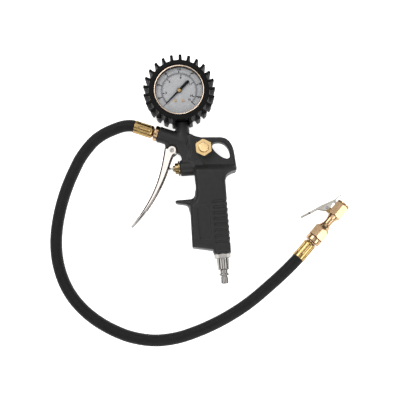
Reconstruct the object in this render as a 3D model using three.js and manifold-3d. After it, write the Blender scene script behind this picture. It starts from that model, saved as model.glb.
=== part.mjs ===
// Tyre inflator gun with a dial gauge in a tread-pattern boot, a hose and a clip-on chuck.
// Millimetres. The gun lies on its side: +Z is up, out of the dial; +Y runs from the air plug
// towards the gauge; +X runs from the trigger towards the back of the grip.
import * as THREE from 'three';
import { mergeVertices } from 'three/addons/utils/BufferGeometryUtils.js';
import Module from 'manifold-3d';

const wasm = await Module();
wasm.setup();

// ---- Driving dimensions ----------------------------------------------------------------------

const GAP = 0.3;                 // between two pieces that touch or screw together
const MERGE = 1e-4;              // corners closer than this are one corner
const MID_Z = 14;                // the gun's parting plane, above the table
const FINE = 40;                 // sides of a large round
const MEDIUM = 20;               // sides of a fitting
const COARSE = 10;               // sides of a pin

// Casting
const GRIP_THICK = 28;
const GRIP_FRONT = 4.4;
const GRIP_BACK = 44.5;
const GRIP_FOOT = -90.3;
const HEAD_HALF = 7.6;           // half thickness of the head, the loop and the hook behind it
const SHOULDER = [[-1.6, 14], [1.2, 12.6], [4.9, 9], [7.7, HEAD_HALF]];   // height, half thickness
const SHOULDER_TURN = -4.6;      // degrees, the step from grip to head runs slightly across
const BOSS = { r: 8, low: 10, top: 25 };
const EAR_ROOM_HALF = 11;        // the room that the lever's two ears turn in
const WEB_HALF = 6.4;            // half thickness of the web between the ports
const LUG_HALF = 5;              // half thickness of the lug that holds the lever
const SPUR_HALF = 9;             // half thickness of the finger rest
const RIB_LEFT = 30;
const RIB_PITCH = 6.06;
const RIB_COUNT = 8;
const RIB_TOP = -36;
const RIB_WIDTH = 3.1;
const RIB_DEPTH = 0.8;
const PANEL = { left: 13, right: 25.5, low: -74.5, high: -40, depth: 0.8, corner: 3 };

// Ports
const VALVE_Y = 3.1;
const VALVE_BARREL_R = 8.6;
const VALVE_FACE = -1.7;
const VALVE_BARREL_END = 24;
const VALVE_BORE_R = 6.3;
const VALVE_BORE_END = 28;
const NOSE = { x: -21.4, y: 41.3, turn: 157.5, r: 8.3, depth: 31.5, drill: 27, bore: 6.5 };
const NECK_R = 7.35;
const NECK_TOP = 51.5;
const NECK_BORE_R = 5.2;
const BLEED = { x: 24.5, y: 20.8, boreR: 6.7, floor: 7 };
const INLET = { x: 35.3, boreR: 6.7, depth: 14 };
const DRILL_R = 2;

// Trigger
const PIVOT = { x: -8.75, y: 22.1 };
const EAR_R = 5.5;
const LEVER_HALF = 7;
const SHEET = 1.5;
const LEVER_TIP = { x: -57.6, y: -54.6 };

// Gauge
const GAUGE = { x: 3.8, y: 83.6 };
const DIAL_TURN = -3.6;
const BOOT = { inner: 27.1, base: 31.9, tip: 37.9, top: 33.6, floor: 2.2, backHole: 17, lugs: 25, turn: 1.2 };
const LUG = { root: 1.4, tip: 1.6, low: 1.2, high: 32.6, backSpread: 0.44, backDrop: 1.3 };
const CASE = { r: 26, wall: 0.8, low: 2.6, high: 29 };
const BEZEL = { outer: 26.75, skirt: 26.3, lip: 25.1, low: 26, lens: 31.8, top: 33 };
const DIAL = { r: 24.9, low: 26.4, high: 27 };
const SCREW_SPOT = { x: 4.1, y: -10.8 };
const TUBE = { r: 20.5, low: 6.2, high: 12.2, half: 1.2, start: 252, sweep: 270 };
const MODULE = 0.3;
const NEEDLE_SWEEP = 270;
const PINION_TEETH = 10;
const SECTOR_TEETH = 70;
const SECTOR_PIVOT_ANGLE = -30;
const SECTOR_TAIL = 7;
const TAIL_ANGLE = -109.3;
const LINK_LENGTH = 10.3;
const LINK_ANGLE = 26;
const PLATE = { low: 12.9, high: 13.7, topLow: 21.3, topHigh: 22.1 };
const GEAR_LOW = 16.6;
const GEAR_HIGH = 17.8;

// Hose and its ends
const HOSE_R = 6.3;
const HOSE_SIDES = 8;
const HOSE_STEPS = 60;
const CHUCK = { x: 114.5, y: -100, z: 9.4, turn: 44.7 };
const FERRULE_LENGTH = 19.4;
const NEAR_FERRULE_START = 6;
const HOSE_ROUTE = [
  [-45.4, 51.25, 14], [-48.6, 52.55, 14], [-57, 53.2, 12.8], [-68, 51.2, 10.2],
  [-79.5, 47.3, 8.2], [-90, 41.2, 6.9],
  [-99.8, 31.7, 6.5], [-107.4, 22, 6.5], [-114, 10.6, 6.5], [-120.1, -1.1, 6.5], [-125.5, -13.4, 6.5],
  [-130, -25.8, 6.5], [-133.6, -38.3, 6.5], [-136.3, -50.8, 6.5], [-137.9, -64, 6.5],
  [-137.9, -78.5, 6.5], [-135.8, -93.4, 6.5], [-131.5, -108, 6.5], [-124.7, -122, 6.5],
  [-115, -135.2, 6.5], [-102.5, -147.4, 6.5], [-87, -158.4, 6.5], [-67, -168.3, 6.5],
  [-43, -174, 6.5], [-19, -173.3, 6.5], [4, -167.8, 6.5], [25, -160.3, 6.5], [44, -151.5, 6.5],
  [62, -141, 6.6], [81.4, -127.2, 7.2], [98.5, -114.1, 8.6], [111.6, -102.9, 9.4], [114.2, -100.3, 9.4],
];

// ---- Materials -------------------------------------------------------------------------------

const FINISH = {
  paint: { color: 0x343434, roughness: 0.5, metalness: 0.2 },
  rubber: { color: 0x1e1e1e, roughness: 0.75, metalness: 0 },
  hose: { color: 0x202020, roughness: 0.6, metalness: 0 },
  brass: { color: 0xc9a45c, roughness: 0.3, metalness: 1 },
  chrome: { color: 0xe8e0da, roughness: 0.15, metalness: 1 },
  steel: { color: 0xb8b6b2, roughness: 0.3, metalness: 1 },
  bezel: { color: 0xd9b48c, roughness: 0.25, metalness: 1 },
  dial: { color: 0xb9babd, roughness: 0.5, metalness: 0.3 },
  black: { color: 0x101010, roughness: 0.45, metalness: 0 },
  seal: { color: 0x3a3a3a, roughness: 0.8, metalness: 0 },
  glass: { color: 0xffffff, roughness: 0.05, metalness: 0 },
};

// ---- Shape helpers ---------------------------------------------------------------------------

const radians = THREE.MathUtils.degToRad;

function solidOf(geometry) {
  const bare = new THREE.BufferGeometry();
  bare.setAttribute('position', geometry.getAttribute('position').clone());
  if (geometry.index) bare.setIndex(geometry.index.clone());
  const merged = mergeVertices(bare, MERGE);
  const corners = merged.index.array;
  const triangles = [];
  for (let i = 0; i < corners.length; i += 3) {
    const [a, b, c] = corners.slice(i, i + 3);
    if (a !== b && b !== c && c !== a) triangles.push(a, b, c);
  }
  const vertProperties = new Float32Array(merged.getAttribute('position').array);
  const build = (triVerts) => new wasm.Manifold(new wasm.Mesh({ numProp: 3, vertProperties, triVerts }));
  const solid = build(Uint32Array.from(triangles));
  return solid.volume() > 0 ? solid : build(Uint32Array.from(triangles.reverse()));
}

function geometryOf(solid) {
  const mesh = solid.getMesh();
  const geometry = new THREE.BufferGeometry();
  geometry.setAttribute('position', new THREE.BufferAttribute(new Float32Array(mesh.vertProperties), 3));
  geometry.setIndex(Array.from(mesh.triVerts));
  return geometry;
}

// Joins the pieces in the first list, then cuts away those in the second.
function carve(pieces, tools = []) {
  let solid = solidOf(pieces[0]);
  for (const piece of pieces.slice(1)) solid = solid.add(solidOf(piece));
  for (const tool of tools) solid = solid.subtract(solidOf(tool));
  return geometryOf(solid);
}

function keepInside(geometry, limit) {
  return geometryOf(solidOf(geometry).intersect(solidOf(limit)));
}

function box(low, high) {
  const size = high.map((value, i) => value - low[i]);
  const geometry = new THREE.BoxGeometry(...size);
  return geometry.translate(...low.map((value, i) => value + size[i] / 2));
}

// A solid of revolution about Z from [height, radius] pairs; the pairs close on the axis or on themselves.
function turned(profile, sides = MEDIUM) {
  const points = profile.map(([height, radius]) => new THREE.Vector2(radius, height));
  const open = profile[0][1] === 0 && profile[profile.length - 1][1] === 0;
  if (!open) points.push(points[0].clone());
  return new THREE.LatheGeometry(points, sides).rotateX(Math.PI / 2);
}

function rod(radius, low, high, sides = MEDIUM) {
  return turned([[low, 0], [low, radius], [high, radius], [high, 0]], sides);
}

function ring(outer, inner, low, high, sides = MEDIUM) {
  return turned([[low, inner], [low, outer], [high, outer], [high, inner]], sides);
}

function hexBar(acrossFlats, low, high, chamfer) {
  const corner = acrossFlats / Math.sqrt(3);
  const bar = rod(corner, low, high, 6);
  const flat = acrossFlats / 2;
  const limit = turned([
    [low, 0], [low, flat], [low + chamfer, corner + 0.01], [high - chamfer, corner + 0.01],
    [high, flat], [high, 0],
  ]);
  return keepInside(bar, limit);
}

const alongX = (geometry) => geometry.rotateY(Math.PI / 2);
const alongY = (geometry) => geometry.rotateX(-Math.PI / 2);
const moved = (geometry, x, y, z = 0) => geometry.translate(x, y, z);

function outline(points) {
  return new THREE.Shape(points.map(([x, y]) => new THREE.Vector2(x, y)));
}

function plate(shape, low, high, curveSegments = 8) {
  const options = { depth: high - low, bevelEnabled: false, curveSegments };
  return new THREE.ExtrudeGeometry(shape, options).translate(0, 0, low);
}

// A plate whose edges are rounded off inside its outline.
function softPlate(shape, low, high, edge, curveSegments = 8) {
  const options = {
    depth: high - low - 2 * edge,
    bevelThickness: edge,
    bevelSize: edge,
    bevelOffset: -edge,
    bevelSegments: 3,
    curveSegments,
  };
  return new THREE.ExtrudeGeometry(shape, options).translate(0, 0, low + edge);
}

function roundSection(radius, sides) {
  const shape = new THREE.Shape();
  for (let i = 0; i < sides; i += 1) {
    const angle = (2 * Math.PI * i) / sides;
    const put = i === 0 ? 'moveTo' : 'lineTo';
    shape[put](radius * Math.cos(angle), radius * Math.sin(angle));
  }
  return shape;
}

function sweep(section, path, steps) {
  return new THREE.ExtrudeGeometry(section, { extrudePath: path, steps, bevelEnabled: false });
}

class Helix extends THREE.Curve {
  constructor(radius, low, high, turns) {
    super();
    Object.assign(this, { radius, low, high, turns });
  }

  getPoint(t) {
    const angle = 2 * Math.PI * this.turns * t;
    const height = THREE.MathUtils.lerp(this.low, this.high, t);
    return new THREE.Vector3(this.radius * Math.cos(angle), this.radius * Math.sin(angle), height);
  }
}

const STEPS_PER_TURN = 10;
const WIRE_SIDES = 4;

function coil(radius, wire, low, high, turns) {
  const path = new Helix(radius, low + wire, high - wire, turns);
  return sweep(roundSection(wire, WIRE_SIDES), path, Math.round(turns * STEPS_PER_TURN));
}

// ---- Assembly --------------------------------------------------------------------------------

const inflator = new THREE.Group();

function addTo(group, name, geometry, finish) {
  const mesh = new THREE.Mesh(geometry, new THREE.MeshStandardMaterial({ ...FINISH[finish], name: finish }));
  mesh.name = name;
  group.add(mesh);
}

function subassembly(x, y, z, turn = 0) {
  const group = new THREE.Group();
  group.position.set(x, y, z);
  group.rotation.z = radians(turn);
  inflator.add(group);
  return group;
}

// ---- Gun casting -----------------------------------------------------------------------------

function gripShape() {
  const shape = new THREE.Shape();
  shape.moveTo(13.4, 7);
  shape.lineTo(12.6, -27);
  shape.quadraticCurveTo(12.2, -34, 5.6, -37);
  shape.lineTo(5.3, -44);
  shape.lineTo(GRIP_FRONT, -81.7);
  shape.lineTo(25.6, -86);
  shape.lineTo(26.6, GRIP_FOOT);
  shape.lineTo(44.2, GRIP_FOOT);
  shape.lineTo(GRIP_BACK, -76);
  shape.lineTo(GRIP_BACK, -16);
  shape.quadraticCurveTo(44.8, -8, 51, -6);
  shape.lineTo(55.5, -5.2);
  shape.lineTo(57.5, -2.5);
  shape.lineTo(57, 7);
  shape.closePath();
  return shape;
}

function headShape() {
  const shape = new THREE.Shape();
  shape.moveTo(13.2, -12);
  shape.lineTo(44.5, -12);
  shape.bezierCurveTo(44.9, -8, 47.5, -6, 54, -5.4);
  shape.quadraticCurveTo(57.8, -4.8, 57.6, -2);
  shape.lineTo(56.4, 14);
  shape.bezierCurveTo(55.6, 25, 51, 32, 41.5, 32.3);
  shape.lineTo(22.5, 33.6);
  shape.quadraticCurveTo(16, 35.5, 11.2, 38);
  shape.lineTo(9.6, 36);
  shape.lineTo(8.6, 31);
  shape.lineTo(8.6, 25);
  shape.lineTo(10.7, 20.2);
  shape.lineTo(7.4, 12.6);
  shape.lineTo(9, 8);
  shape.lineTo(13, 2);
  shape.closePath();
  shape.holes.push(loopShape());
  return shape;
}

function loopShape() {
  const hole = new THREE.Path();
  hole.moveTo(34, 21.2);
  hole.quadraticCurveTo(32.6, 26.6, 37.6, 27.3);
  hole.bezierCurveTo(45, 28, 50.6, 23.5, 51.6, 14);
  hole.quadraticCurveTo(51.8, 8.6, 48, 8.8);
  hole.bezierCurveTo(43, 9.5, 36, 16.5, 34, 21.2);
  return hole;
}

function webShape() {
  const shape = new THREE.Shape();
  shape.moveTo(14, 6);
  shape.lineTo(1, 6);
  shape.lineTo(0.6, 12.4);
  shape.quadraticCurveTo(1, 17.2, -3.2, 19);
  shape.lineTo(-12, 30);
  shape.lineTo(-4, 41);
  shape.lineTo(14, 37);
  shape.closePath();
  return shape;
}

function lugShape() {
  const shape = new THREE.Shape();
  const turnFrom = radians(150);
  const turnTo = radians(325);
  shape.moveTo(-4, 34);
  shape.lineTo(-15.9, 32.5);
  shape.lineTo(-15.5, 25.6);
  shape.absarc(PIVOT.x, PIVOT.y, 4.8, turnFrom, turnTo, false);
  shape.lineTo(0, 22);
  shape.closePath();
  return shape;
}

function spurShape() {
  const shape = new THREE.Shape();
  shape.moveTo(15, -22);
  shape.lineTo(12.6, -24);
  shape.quadraticCurveTo(12, -30.6, 6, -31);
  shape.lineTo(-7.8, -31);
  shape.quadraticCurveTo(-11.3, -32.4, -7.8, -34.4);
  shape.lineTo(1, -36.2);
  shape.quadraticCurveTo(4.8, -37.6, 5.3, -43);
  shape.lineTo(15, -43);
  shape.closePath();
  return shape;
}

function panelShape() {
  const { left, right, low, high, corner } = PANEL;
  const shape = new THREE.Shape();
  shape.moveTo(left + corner, low);
  shape.lineTo(right - corner, low);
  shape.quadraticCurveTo(right, low, right, low + corner);
  shape.lineTo(right, high - corner);
  shape.quadraticCurveTo(right, high, right - corner, high);
  shape.lineTo(left + corner, high);
  shape.quadraticCurveTo(left, high, left, high - corner);
  shape.lineTo(left, low + corner);
  shape.quadraticCurveTo(left, low, left + corner, low);
  return shape;
}

function ribCutters() {
  const cutters = [];
  const overshoot = 2;
  for (let i = 0; i < RIB_COUNT; i += 1) {
    const y = RIB_TOP - i * RIB_PITCH;
    const low = y - RIB_WIDTH / 2;
    const high = y + RIB_WIDTH / 2;
    const right = GRIP_BACK + overshoot;
    cutters.push(box([RIB_LEFT, low, GRIP_THICK - RIB_DEPTH], [right, high, GRIP_THICK + overshoot]));
    cutters.push(box([RIB_LEFT, low, -overshoot], [right, high, RIB_DEPTH]));
    cutters.push(box([GRIP_BACK - RIB_DEPTH, low, 0], [right, high, GRIP_THICK]));
  }
  return cutters;
}

function noseAligned(geometry) {
  return alongX(geometry).rotateZ(radians(NOSE.turn)).translate(NOSE.x, NOSE.y, MID_Z);
}

function portCutters() {
  const chamber = alongX(rod(VALVE_BORE_R, VALVE_FACE - 1, VALVE_BORE_END));
  const chamberFeed = alongX(rod(3, VALVE_BORE_END - 1, INLET.x, COARSE));
  const socketDepth = 13;
  const earRoom = EAR_R + 0.8;
  return [
    moved(rod(earRoom, MID_Z + LUG_HALF + GAP, MID_Z + EAR_ROOM_HALF), PIVOT.x, PIVOT.y),
    moved(rod(earRoom, MID_Z - EAR_ROOM_HALF, MID_Z - LUG_HALF - GAP), PIVOT.x, PIVOT.y),
    moved(chamber, 0, VALVE_Y, MID_Z),
    moved(chamberFeed, 0, VALVE_Y, MID_Z),
    moved(alongY(rod(INLET.boreR, -1, INLET.depth)), INLET.x, GRIP_FOOT, MID_Z),
    moved(alongY(rod(4, 0, VALVE_Y - GRIP_FOOT, COARSE)), INLET.x, GRIP_FOOT, MID_Z),
    noseAligned(rod(NOSE.bore, -socketDepth, 1)),
    noseAligned(rod(DRILL_R, -NOSE.drill, 0, COARSE)),
    moved(alongY(rod(NECK_BORE_R, NECK_TOP - socketDepth, NECK_TOP + 1)), GAUGE.x, 0, MID_Z),
    moved(alongY(rod(DRILL_R, 24, NECK_TOP, COARSE)), GAUGE.x, 0, MID_Z),
    moved(alongY(rod(DRILL_R, VALVE_Y, 25, COARSE)), 8.6, 0, MID_Z),
    moved(alongX(rod(DRILL_R, GAUGE.x - 1, BLEED.x, COARSE)), 0, 24, MID_Z),
    moved(rod(BLEED.boreR, BLEED.floor, BOSS.top + 1), BLEED.x, BLEED.y),
    moved(rod(2.2, 0, GRIP_THICK, COARSE), PIVOT.x, PIVOT.y),
  ];
}

// Everything below the shoulder keeps the grip's thickness; the head above it is thinner.
function shoulderRoom() {
  const low = GRIP_FOOT - 10;
  const reach = 200;
  const half = (side) => SHOULDER.map(([y, z]) => [y, side * z]);
  const [lastY, lastZ] = SHOULDER[SHOULDER.length - 1];
  const lower = [[low, -SHOULDER[0][1]], ...half(-1), [lastY + 10, -lastZ]];
  const upper = [...half(1), [lastY + 10, lastZ]].reverse();
  const profile = outline([...lower, ...upper, [low, SHOULDER[0][1]]]);
  const room = plate(profile, -reach / 2, reach / 2);
  return room.rotateX(Math.PI / 2).rotateZ(Math.PI / 2 + radians(SHOULDER_TURN)).translate(0, 0, MID_Z);
}

function gunBody() {
  const edge = 2;
  const gripEdge = 3.5;
  const pieces = [
    keepInside(softPlate(gripShape(), 0, GRIP_THICK, gripEdge), shoulderRoom()),
    softPlate(headShape(), MID_Z - HEAD_HALF, MID_Z + HEAD_HALF, edge, 6),
    moved(rod(BOSS.r, BOSS.low, BOSS.top), BLEED.x, BLEED.y),
    plate(webShape(), MID_Z - WEB_HALF, MID_Z + WEB_HALF),
    plate(lugShape(), MID_Z - LUG_HALF, MID_Z + LUG_HALF),
    plate(spurShape(), MID_Z - SPUR_HALF, MID_Z + SPUR_HALF),
    moved(alongX(rod(VALVE_BARREL_R, VALVE_FACE, VALVE_BARREL_END)), 0, VALVE_Y, MID_Z),
    noseAligned(rod(NOSE.r, -NOSE.depth, 0)),
    moved(alongY(rod(NECK_R, 28, NECK_TOP)), GAUGE.x, 0, MID_Z),
  ];
  const panels = [
    plate(panelShape(), GRIP_THICK - PANEL.depth, GRIP_THICK + 1, 4),
    plate(panelShape(), -1, PANEL.depth, 4),
  ];
  return carve(pieces, [...panels, ...ribCutters(), ...portCutters()]);
}

addTo(inflator, 'gun_body', gunBody(), 'paint');

// ---- Trigger ---------------------------------------------------------------------------------

function leverShape() {
  const shape = new THREE.Shape();
  shape.moveTo(-16, 25.3);
  shape.bezierCurveTo(-21.4, 4, -26, -22, LEVER_TIP.x, LEVER_TIP.y + 1);
  shape.lineTo(LEVER_TIP.x + 2, LEVER_TIP.y - 1);
  shape.bezierCurveTo(-35, -38, -19, -12, -11.6, 8.6);
  shape.quadraticCurveTo(-9.6, 13.5, -7.6, 16.72);
  shape.absarc(PIVOT.x, PIVOT.y, EAR_R, radians(-78), radians(148), false);
  shape.closePath();
  return shape;
}

// The room inside the folded sheet: everything behind the finger face.
function leverHollowShape() {
  const shape = new THREE.Shape();
  shape.moveTo(-16 + SHEET, 30);
  shape.lineTo(-16 + SHEET, 25.3);
  shape.bezierCurveTo(-21.4 + SHEET, 4, -26 + SHEET, -22, -49, -46);
  shape.lineTo(-44, -54);
  shape.lineTo(10, -30);
  shape.lineTo(10, 30);
  shape.closePath();
  return shape;
}

const trigger = subassembly(0, 0, MID_Z);
const cheek = LEVER_HALF - SHEET;
const pinHole = () => moved(rod(2.3, -LEVER_HALF - 1, LEVER_HALF + 1, COARSE), PIVOT.x, PIVOT.y);
const lever = carve(
  [softPlate(leverShape(), -LEVER_HALF, LEVER_HALF, 0.6, 12)],
  [plate(leverHollowShape(), -cheek, cheek, 12), pinHole()],
);
addTo(trigger, 'trigger_lever', lever, 'chrome');

const PIN_R = 1.9;
const pinTop = LEVER_HALF + 1.1;
const pin = turned([
  [-LEVER_HALF - 1.6, 0], [-LEVER_HALF - 1.6, PIN_R], [LEVER_HALF + GAP, PIN_R], [LEVER_HALF + GAP, 2.6],
  [pinTop, 2.4], [pinTop, 1.1], [pinTop - 1.6, 1.1], [pinTop - 1.6, 0],
], COARSE * 2);
addTo(trigger, 'trigger_pin', moved(pin, PIVOT.x, PIVOT.y), 'steel');
const pinWasher = ring(3.2, PIN_R + GAP, -LEVER_HALF - 1.1, -LEVER_HALF - GAP, COARSE * 2);
addTo(trigger, 'trigger_pin_washer', moved(pinWasher, PIVOT.x, PIVOT.y), 'steel');

// ---- Air valve -------------------------------------------------------------------------------

const valve = subassembly(0, VALVE_Y, MID_Z);
const STEM_R = 1.5;
const stemTip = -19.6;
const stemEnd = 15.8;
const bonnetInner = 6;
const bonnet = turned([
  [-9.2, STEM_R + GAP], [-9.2, 3.1], [-7.1, 3.1], [-7, 5.6], [-3.6, 5.8], [-3.5, 7.7], [-2, 7.9],
  [-2, 6], [bonnetInner, 6], [bonnetInner, 4.2], [3, 4.2], [3, STEM_R + GAP],
]);
addTo(valve, 'valve_bonnet', alongX(bonnet), 'brass');
const stem = turned([
  [stemTip, 0], [stemTip, 0.7], [stemTip + 0.6, STEM_R], [stemEnd, STEM_R], [stemEnd, 0],
], COARSE);
addTo(valve, 'valve_stem', alongX(stem), 'steel');
addTo(valve, 'stem_seal', alongX(ring(3.9, STEM_R + GAP, 3 + GAP, 5.4, COARSE * 2)), 'seal');
const seat = turned([[11, 3.4], [11, 6], [14, 6], [14, 4.4], [14.5, 3.9], [14.5, 3.4]]);
addTo(valve, 'valve_seat', alongX(seat), 'brass');
addTo(valve, 'poppet_seal', alongX(ring(4.5, STEM_R + GAP, 14.8, 15.8, COARSE * 2)), 'seal');
const poppet = turned([
  [16.1, 0], [16.1, 4.8], [18.1, 4.8], [18.1, 2.4], [20.5, 2.4], [20.5, 0],
], COARSE * 2);
addTo(valve, 'valve_poppet', alongX(poppet), 'brass');
addTo(valve, 'valve_spring', alongX(coil(3.7, 0.45, 18.4, 27.7, 5)), 'steel');

// ---- Bleed button ----------------------------------------------------------------------------

const bleed = subassembly(BLEED.x, BLEED.y, 0);
const nutTop = 30.6;
const nutSeat = BOSS.top + GAP;
const nutBlank = [hexBar(16, nutSeat, nutTop, 0.8), rod(6.4, 13.5, nutSeat + 1)];
const nutBore = [rod(5.4, 19, nutTop + 1), rod(1.9, 12, 20, COARSE)];
addTo(bleed, 'bleed_nut', carve(nutBlank, nutBore), 'brass');
const button = turned([
  [12.9, 0], [12.9, 1.5], [26.4, 1.5], [26.4, 5.1], [33.4, 5.1], [34, 4.5], [34, 0],
]);
addTo(bleed, 'bleed_button', button, 'brass');
addTo(bleed, 'bleed_spring', coil(4, 0.45, 19.3, 26.1, 4), 'steel');
const bleedSeal = turned([[9.6, 0], [9.6, 3], [10.4, 3.6], [12.6, 3.6], [12.6, 0]], COARSE * 2);
addTo(bleed, 'bleed_seal', bleedSeal, 'seal');

// ---- Air plug --------------------------------------------------------------------------------

const plug = subassembly(INLET.x, GRIP_FOOT, MID_Z, -90);
const plugTurned = turned([
  [-12, 2.8], [-12, 6], [-11, 6.4], [0, 6.4], [0, 7.5], [4, 7.5], [5, 6.2], [16, 6.2], [17, 4.1],
  [20.4, 3.9], [21, 5.3], [22.4, 5.3], [22.7, 3.5], [24, 3.5], [24.2, 4.05], [30.5, 4.05],
  [31.2, 3.4], [31.2, 2.8],
]);
const plugHex = hexBar(15, GAP, 4.6, 0.9);
const plugBore = rod(2.8, -13, 32);
addTo(plug, 'air_plug', alongX(carve([plugTurned, plugHex], [plugBore])), 'steel');

// ---- Gauge: shell ----------------------------------------------------------------------------

const gauge = subassembly(GAUGE.x, GAUGE.y, 0);

// One lug of the boot, narrow in front and wider and lower behind.
function treadLug() {
  const { root, tip, low, high } = LUG;
  const corner = 0.6;
  const shape = outline([
    [BOOT.base - 1, -root], [BOOT.tip - corner, -tip], [BOOT.tip, corner - tip],
    [BOOT.tip, tip - corner], [BOOT.tip - corner, tip], [BOOT.base - 1, root],
  ]);
  const lug = plate(shape, low, high);
  const position = lug.getAttribute('position');
  for (let i = 0; i < position.count; i += 1) {
    const depth = (high - position.getZ(i)) / (high - low);
    const drop = position.getX(i) > BOOT.base ? LUG.backDrop * depth : 0;
    position.setX(i, position.getX(i) - drop);
    position.setY(i, position.getY(i) * (1 + LUG.backSpread * depth));
  }
  return lug;
}

function gaugeBoot() {
  const wall = turned([
    [0, BOOT.backHole], [0, BOOT.base - 1], [1, BOOT.base], [BOOT.top - 1, BOOT.base],
    [BOOT.top, BOOT.base - 1], [BOOT.top, BOOT.inner], [BOOT.floor, BOOT.inner],
    [BOOT.floor, BOOT.backHole],
  ], FINE);
  const pieces = [wall];
  const pitch = 360 / BOOT.lugs;
  for (let i = 1; i < BOOT.lugs; i += 1) {
    pieces.push(treadLug().rotateZ(radians(BOOT.turn - 90 + i * pitch)));
  }
  const notch = box([-8.2, -40, 5.6], [8.2, -22, 22.4]);
  return carve(pieces, [notch]);
}

addTo(gauge, 'gauge_boot', gaugeBoot(), 'rubber');

const caseInner = CASE.r - CASE.wall;
const caseShell = turned([
  [CASE.low, 0], [CASE.low, CASE.r - 0.6], [CASE.low + 0.6, CASE.r], [CASE.high, CASE.r],
  [CASE.high, caseInner], [CASE.low + CASE.wall, caseInner], [CASE.low + CASE.wall, 0],
], FINE);
const stemSlot = box([-5.3, -30, MID_Z - 5.3], [5.3, -20, MID_Z + 5.3]);
addTo(gauge, 'gauge_case', carve([caseShell], [stemSlot]), 'black');
const bezel = turned([
  [BEZEL.low, BEZEL.skirt], [BEZEL.low, BEZEL.outer], [BEZEL.top - 0.6, BEZEL.outer],
  [BEZEL.top, BEZEL.outer - 0.6], [BEZEL.top, BEZEL.lip + 0.6], [BEZEL.lens, BEZEL.lip],
  [BEZEL.lens, BEZEL.skirt],
], FINE);
addTo(gauge, 'gauge_bezel', bezel, 'bezel');
addTo(gauge, 'gauge_lens', rod(25.8, 30.3, 31.5, FINE), 'glass');
addTo(gauge, 'lens_gasket', ring(25.9, 24.7, CASE.high + GAP, 30, FINE), 'seal');

// ---- Gauge: dial -----------------------------------------------------------------------------

const dialGroup = new THREE.Group();
dialGroup.rotation.z = radians(DIAL_TURN);
gauge.add(dialGroup);
const screwSides = [['left', -1], ['right', 1]];
const screwHole = (side) => moved(rod(1, 20, 30, COARSE), side * SCREW_SPOT.x, SCREW_SPOT.y);
const dialHoles = [rod(1.8, 20, 30, COARSE), ...screwSides.map(([, side]) => screwHole(side))];
addTo(dialGroup, 'gauge_dial', carve([rod(DIAL.r, DIAL.low, DIAL.high, FINE)], dialHoles), 'dial');
for (const [name, side] of screwSides) {
  const place = (geometry) => moved(geometry, side * SCREW_SPOT.x, SCREW_SPOT.y);
  const screw = turned([[23, 0], [23, 0.7], [27.3, 0.7], [27.3, 1.35], [27.9, 1.2], [27.9, 0]], COARSE);
  addTo(dialGroup, `dial_screw_${name}`, place(screw), 'brass');
  addTo(dialGroup, `dial_post_${name}`, place(ring(1.7, 1, PLATE.topHigh + GAP, 26.1, COARSE)), 'brass');
}

// ---- Gauge: movement -------------------------------------------------------------------------

function gearShape(teeth, first, last, closing) {
  const pitchR = (MODULE * teeth) / 2;
  const step = (2 * Math.PI) / teeth;
  const tip = pitchR + 0.8 * MODULE;
  const root = pitchR - 1.15 * MODULE;
  const points = [];
  for (let i = first; i < last; i += 1) {
    const at = (offset, radius) => {
      const angle = step * (i + offset);
      return [radius * Math.cos(angle), radius * Math.sin(angle)];
    };
    points.push(at(-0.3, root), at(-0.1, tip), at(0.1, tip), at(0.3, root));
  }
  return outline([...points, ...closing]);
}

const pinionR = (MODULE * PINION_TEETH) / 2;
const sectorR = (MODULE * SECTOR_TEETH) / 2;
const centreDistance = pinionR + sectorR;
const pivotAngle = radians(SECTOR_PIVOT_ANGLE);
const sectorPivot = [centreDistance * Math.cos(pivotAngle), centreDistance * Math.sin(pivotAngle)];
const meshAngle = pivotAngle + Math.PI;
const arborR = 0.6;

const pinionTurn = pivotAngle + Math.PI / PINION_TEETH;
const pinion = plate(gearShape(PINION_TEETH, 0, PINION_TEETH, []), GEAR_LOW - 0.4, GEAR_HIGH + 0.4);
const arbor = carve([pinion.rotateZ(pinionTurn), rod(arborR, PLATE.low + 0.2, 28.1, COARSE)]);
addTo(gauge, 'pinion_arbor', arbor, 'brass');

function sectorGear() {
  const reach = 7;
  const tooth = (2 * Math.PI) / SECTOR_TEETH;
  const hubR = 1.8;
  const toothed = gearShape(SECTOR_TEETH, -reach, reach + 1, [
    [hubR * Math.cos(1.2), hubR * Math.sin(1.2)], [-hubR, 0],
    [hubR * Math.cos(1.2), -hubR * Math.sin(1.2)],
  ]);
  const halfSwing = radians(NEEDLE_SWEEP * PINION_TEETH / SECTOR_TEETH / 2);
  const sweepMiddle = Math.round(halfSwing / tooth) * tooth;
  const fan = plate(toothed, GEAR_LOW, GEAR_HIGH).rotateZ(meshAngle - sweepMiddle);
  const tailShape = outline([[0, -1], [SECTOR_TAIL, -1], [SECTOR_TAIL + 1, 0], [SECTOR_TAIL, 1], [0, 1]]);
  const tail = plate(tailShape, GEAR_LOW, GEAR_HIGH).rotateZ(radians(TAIL_ANGLE));
  const shaft = rod(arborR, PLATE.low + 0.2, PLATE.topHigh - 0.2, COARSE);
  return carve([fan, tail, shaft, rod(hubR, GEAR_LOW, GEAR_HIGH, COARSE)]);
}

addTo(gauge, 'sector_gear', moved(sectorGear(), ...sectorPivot), 'brass');

const tailAngle = radians(TAIL_ANGLE);
const tailEnd = [
  sectorPivot[0] + SECTOR_TAIL * Math.cos(tailAngle),
  sectorPivot[1] + SECTOR_TAIL * Math.sin(tailAngle),
];
const link = carve([
  box([0, -0.8, GEAR_HIGH + GAP], [LINK_LENGTH, 0.8, GEAR_HIGH + 0.9]),
  rod(1.2, GEAR_HIGH + GAP, GEAR_HIGH + 0.9, COARSE),
  moved(rod(1.2, GEAR_HIGH + GAP, GEAR_HIGH + 0.9, COARSE), LINK_LENGTH, 0),
]);
addTo(gauge, 'gauge_link', moved(link.rotateZ(radians(LINK_ANGLE)), ...tailEnd), 'brass');

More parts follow.
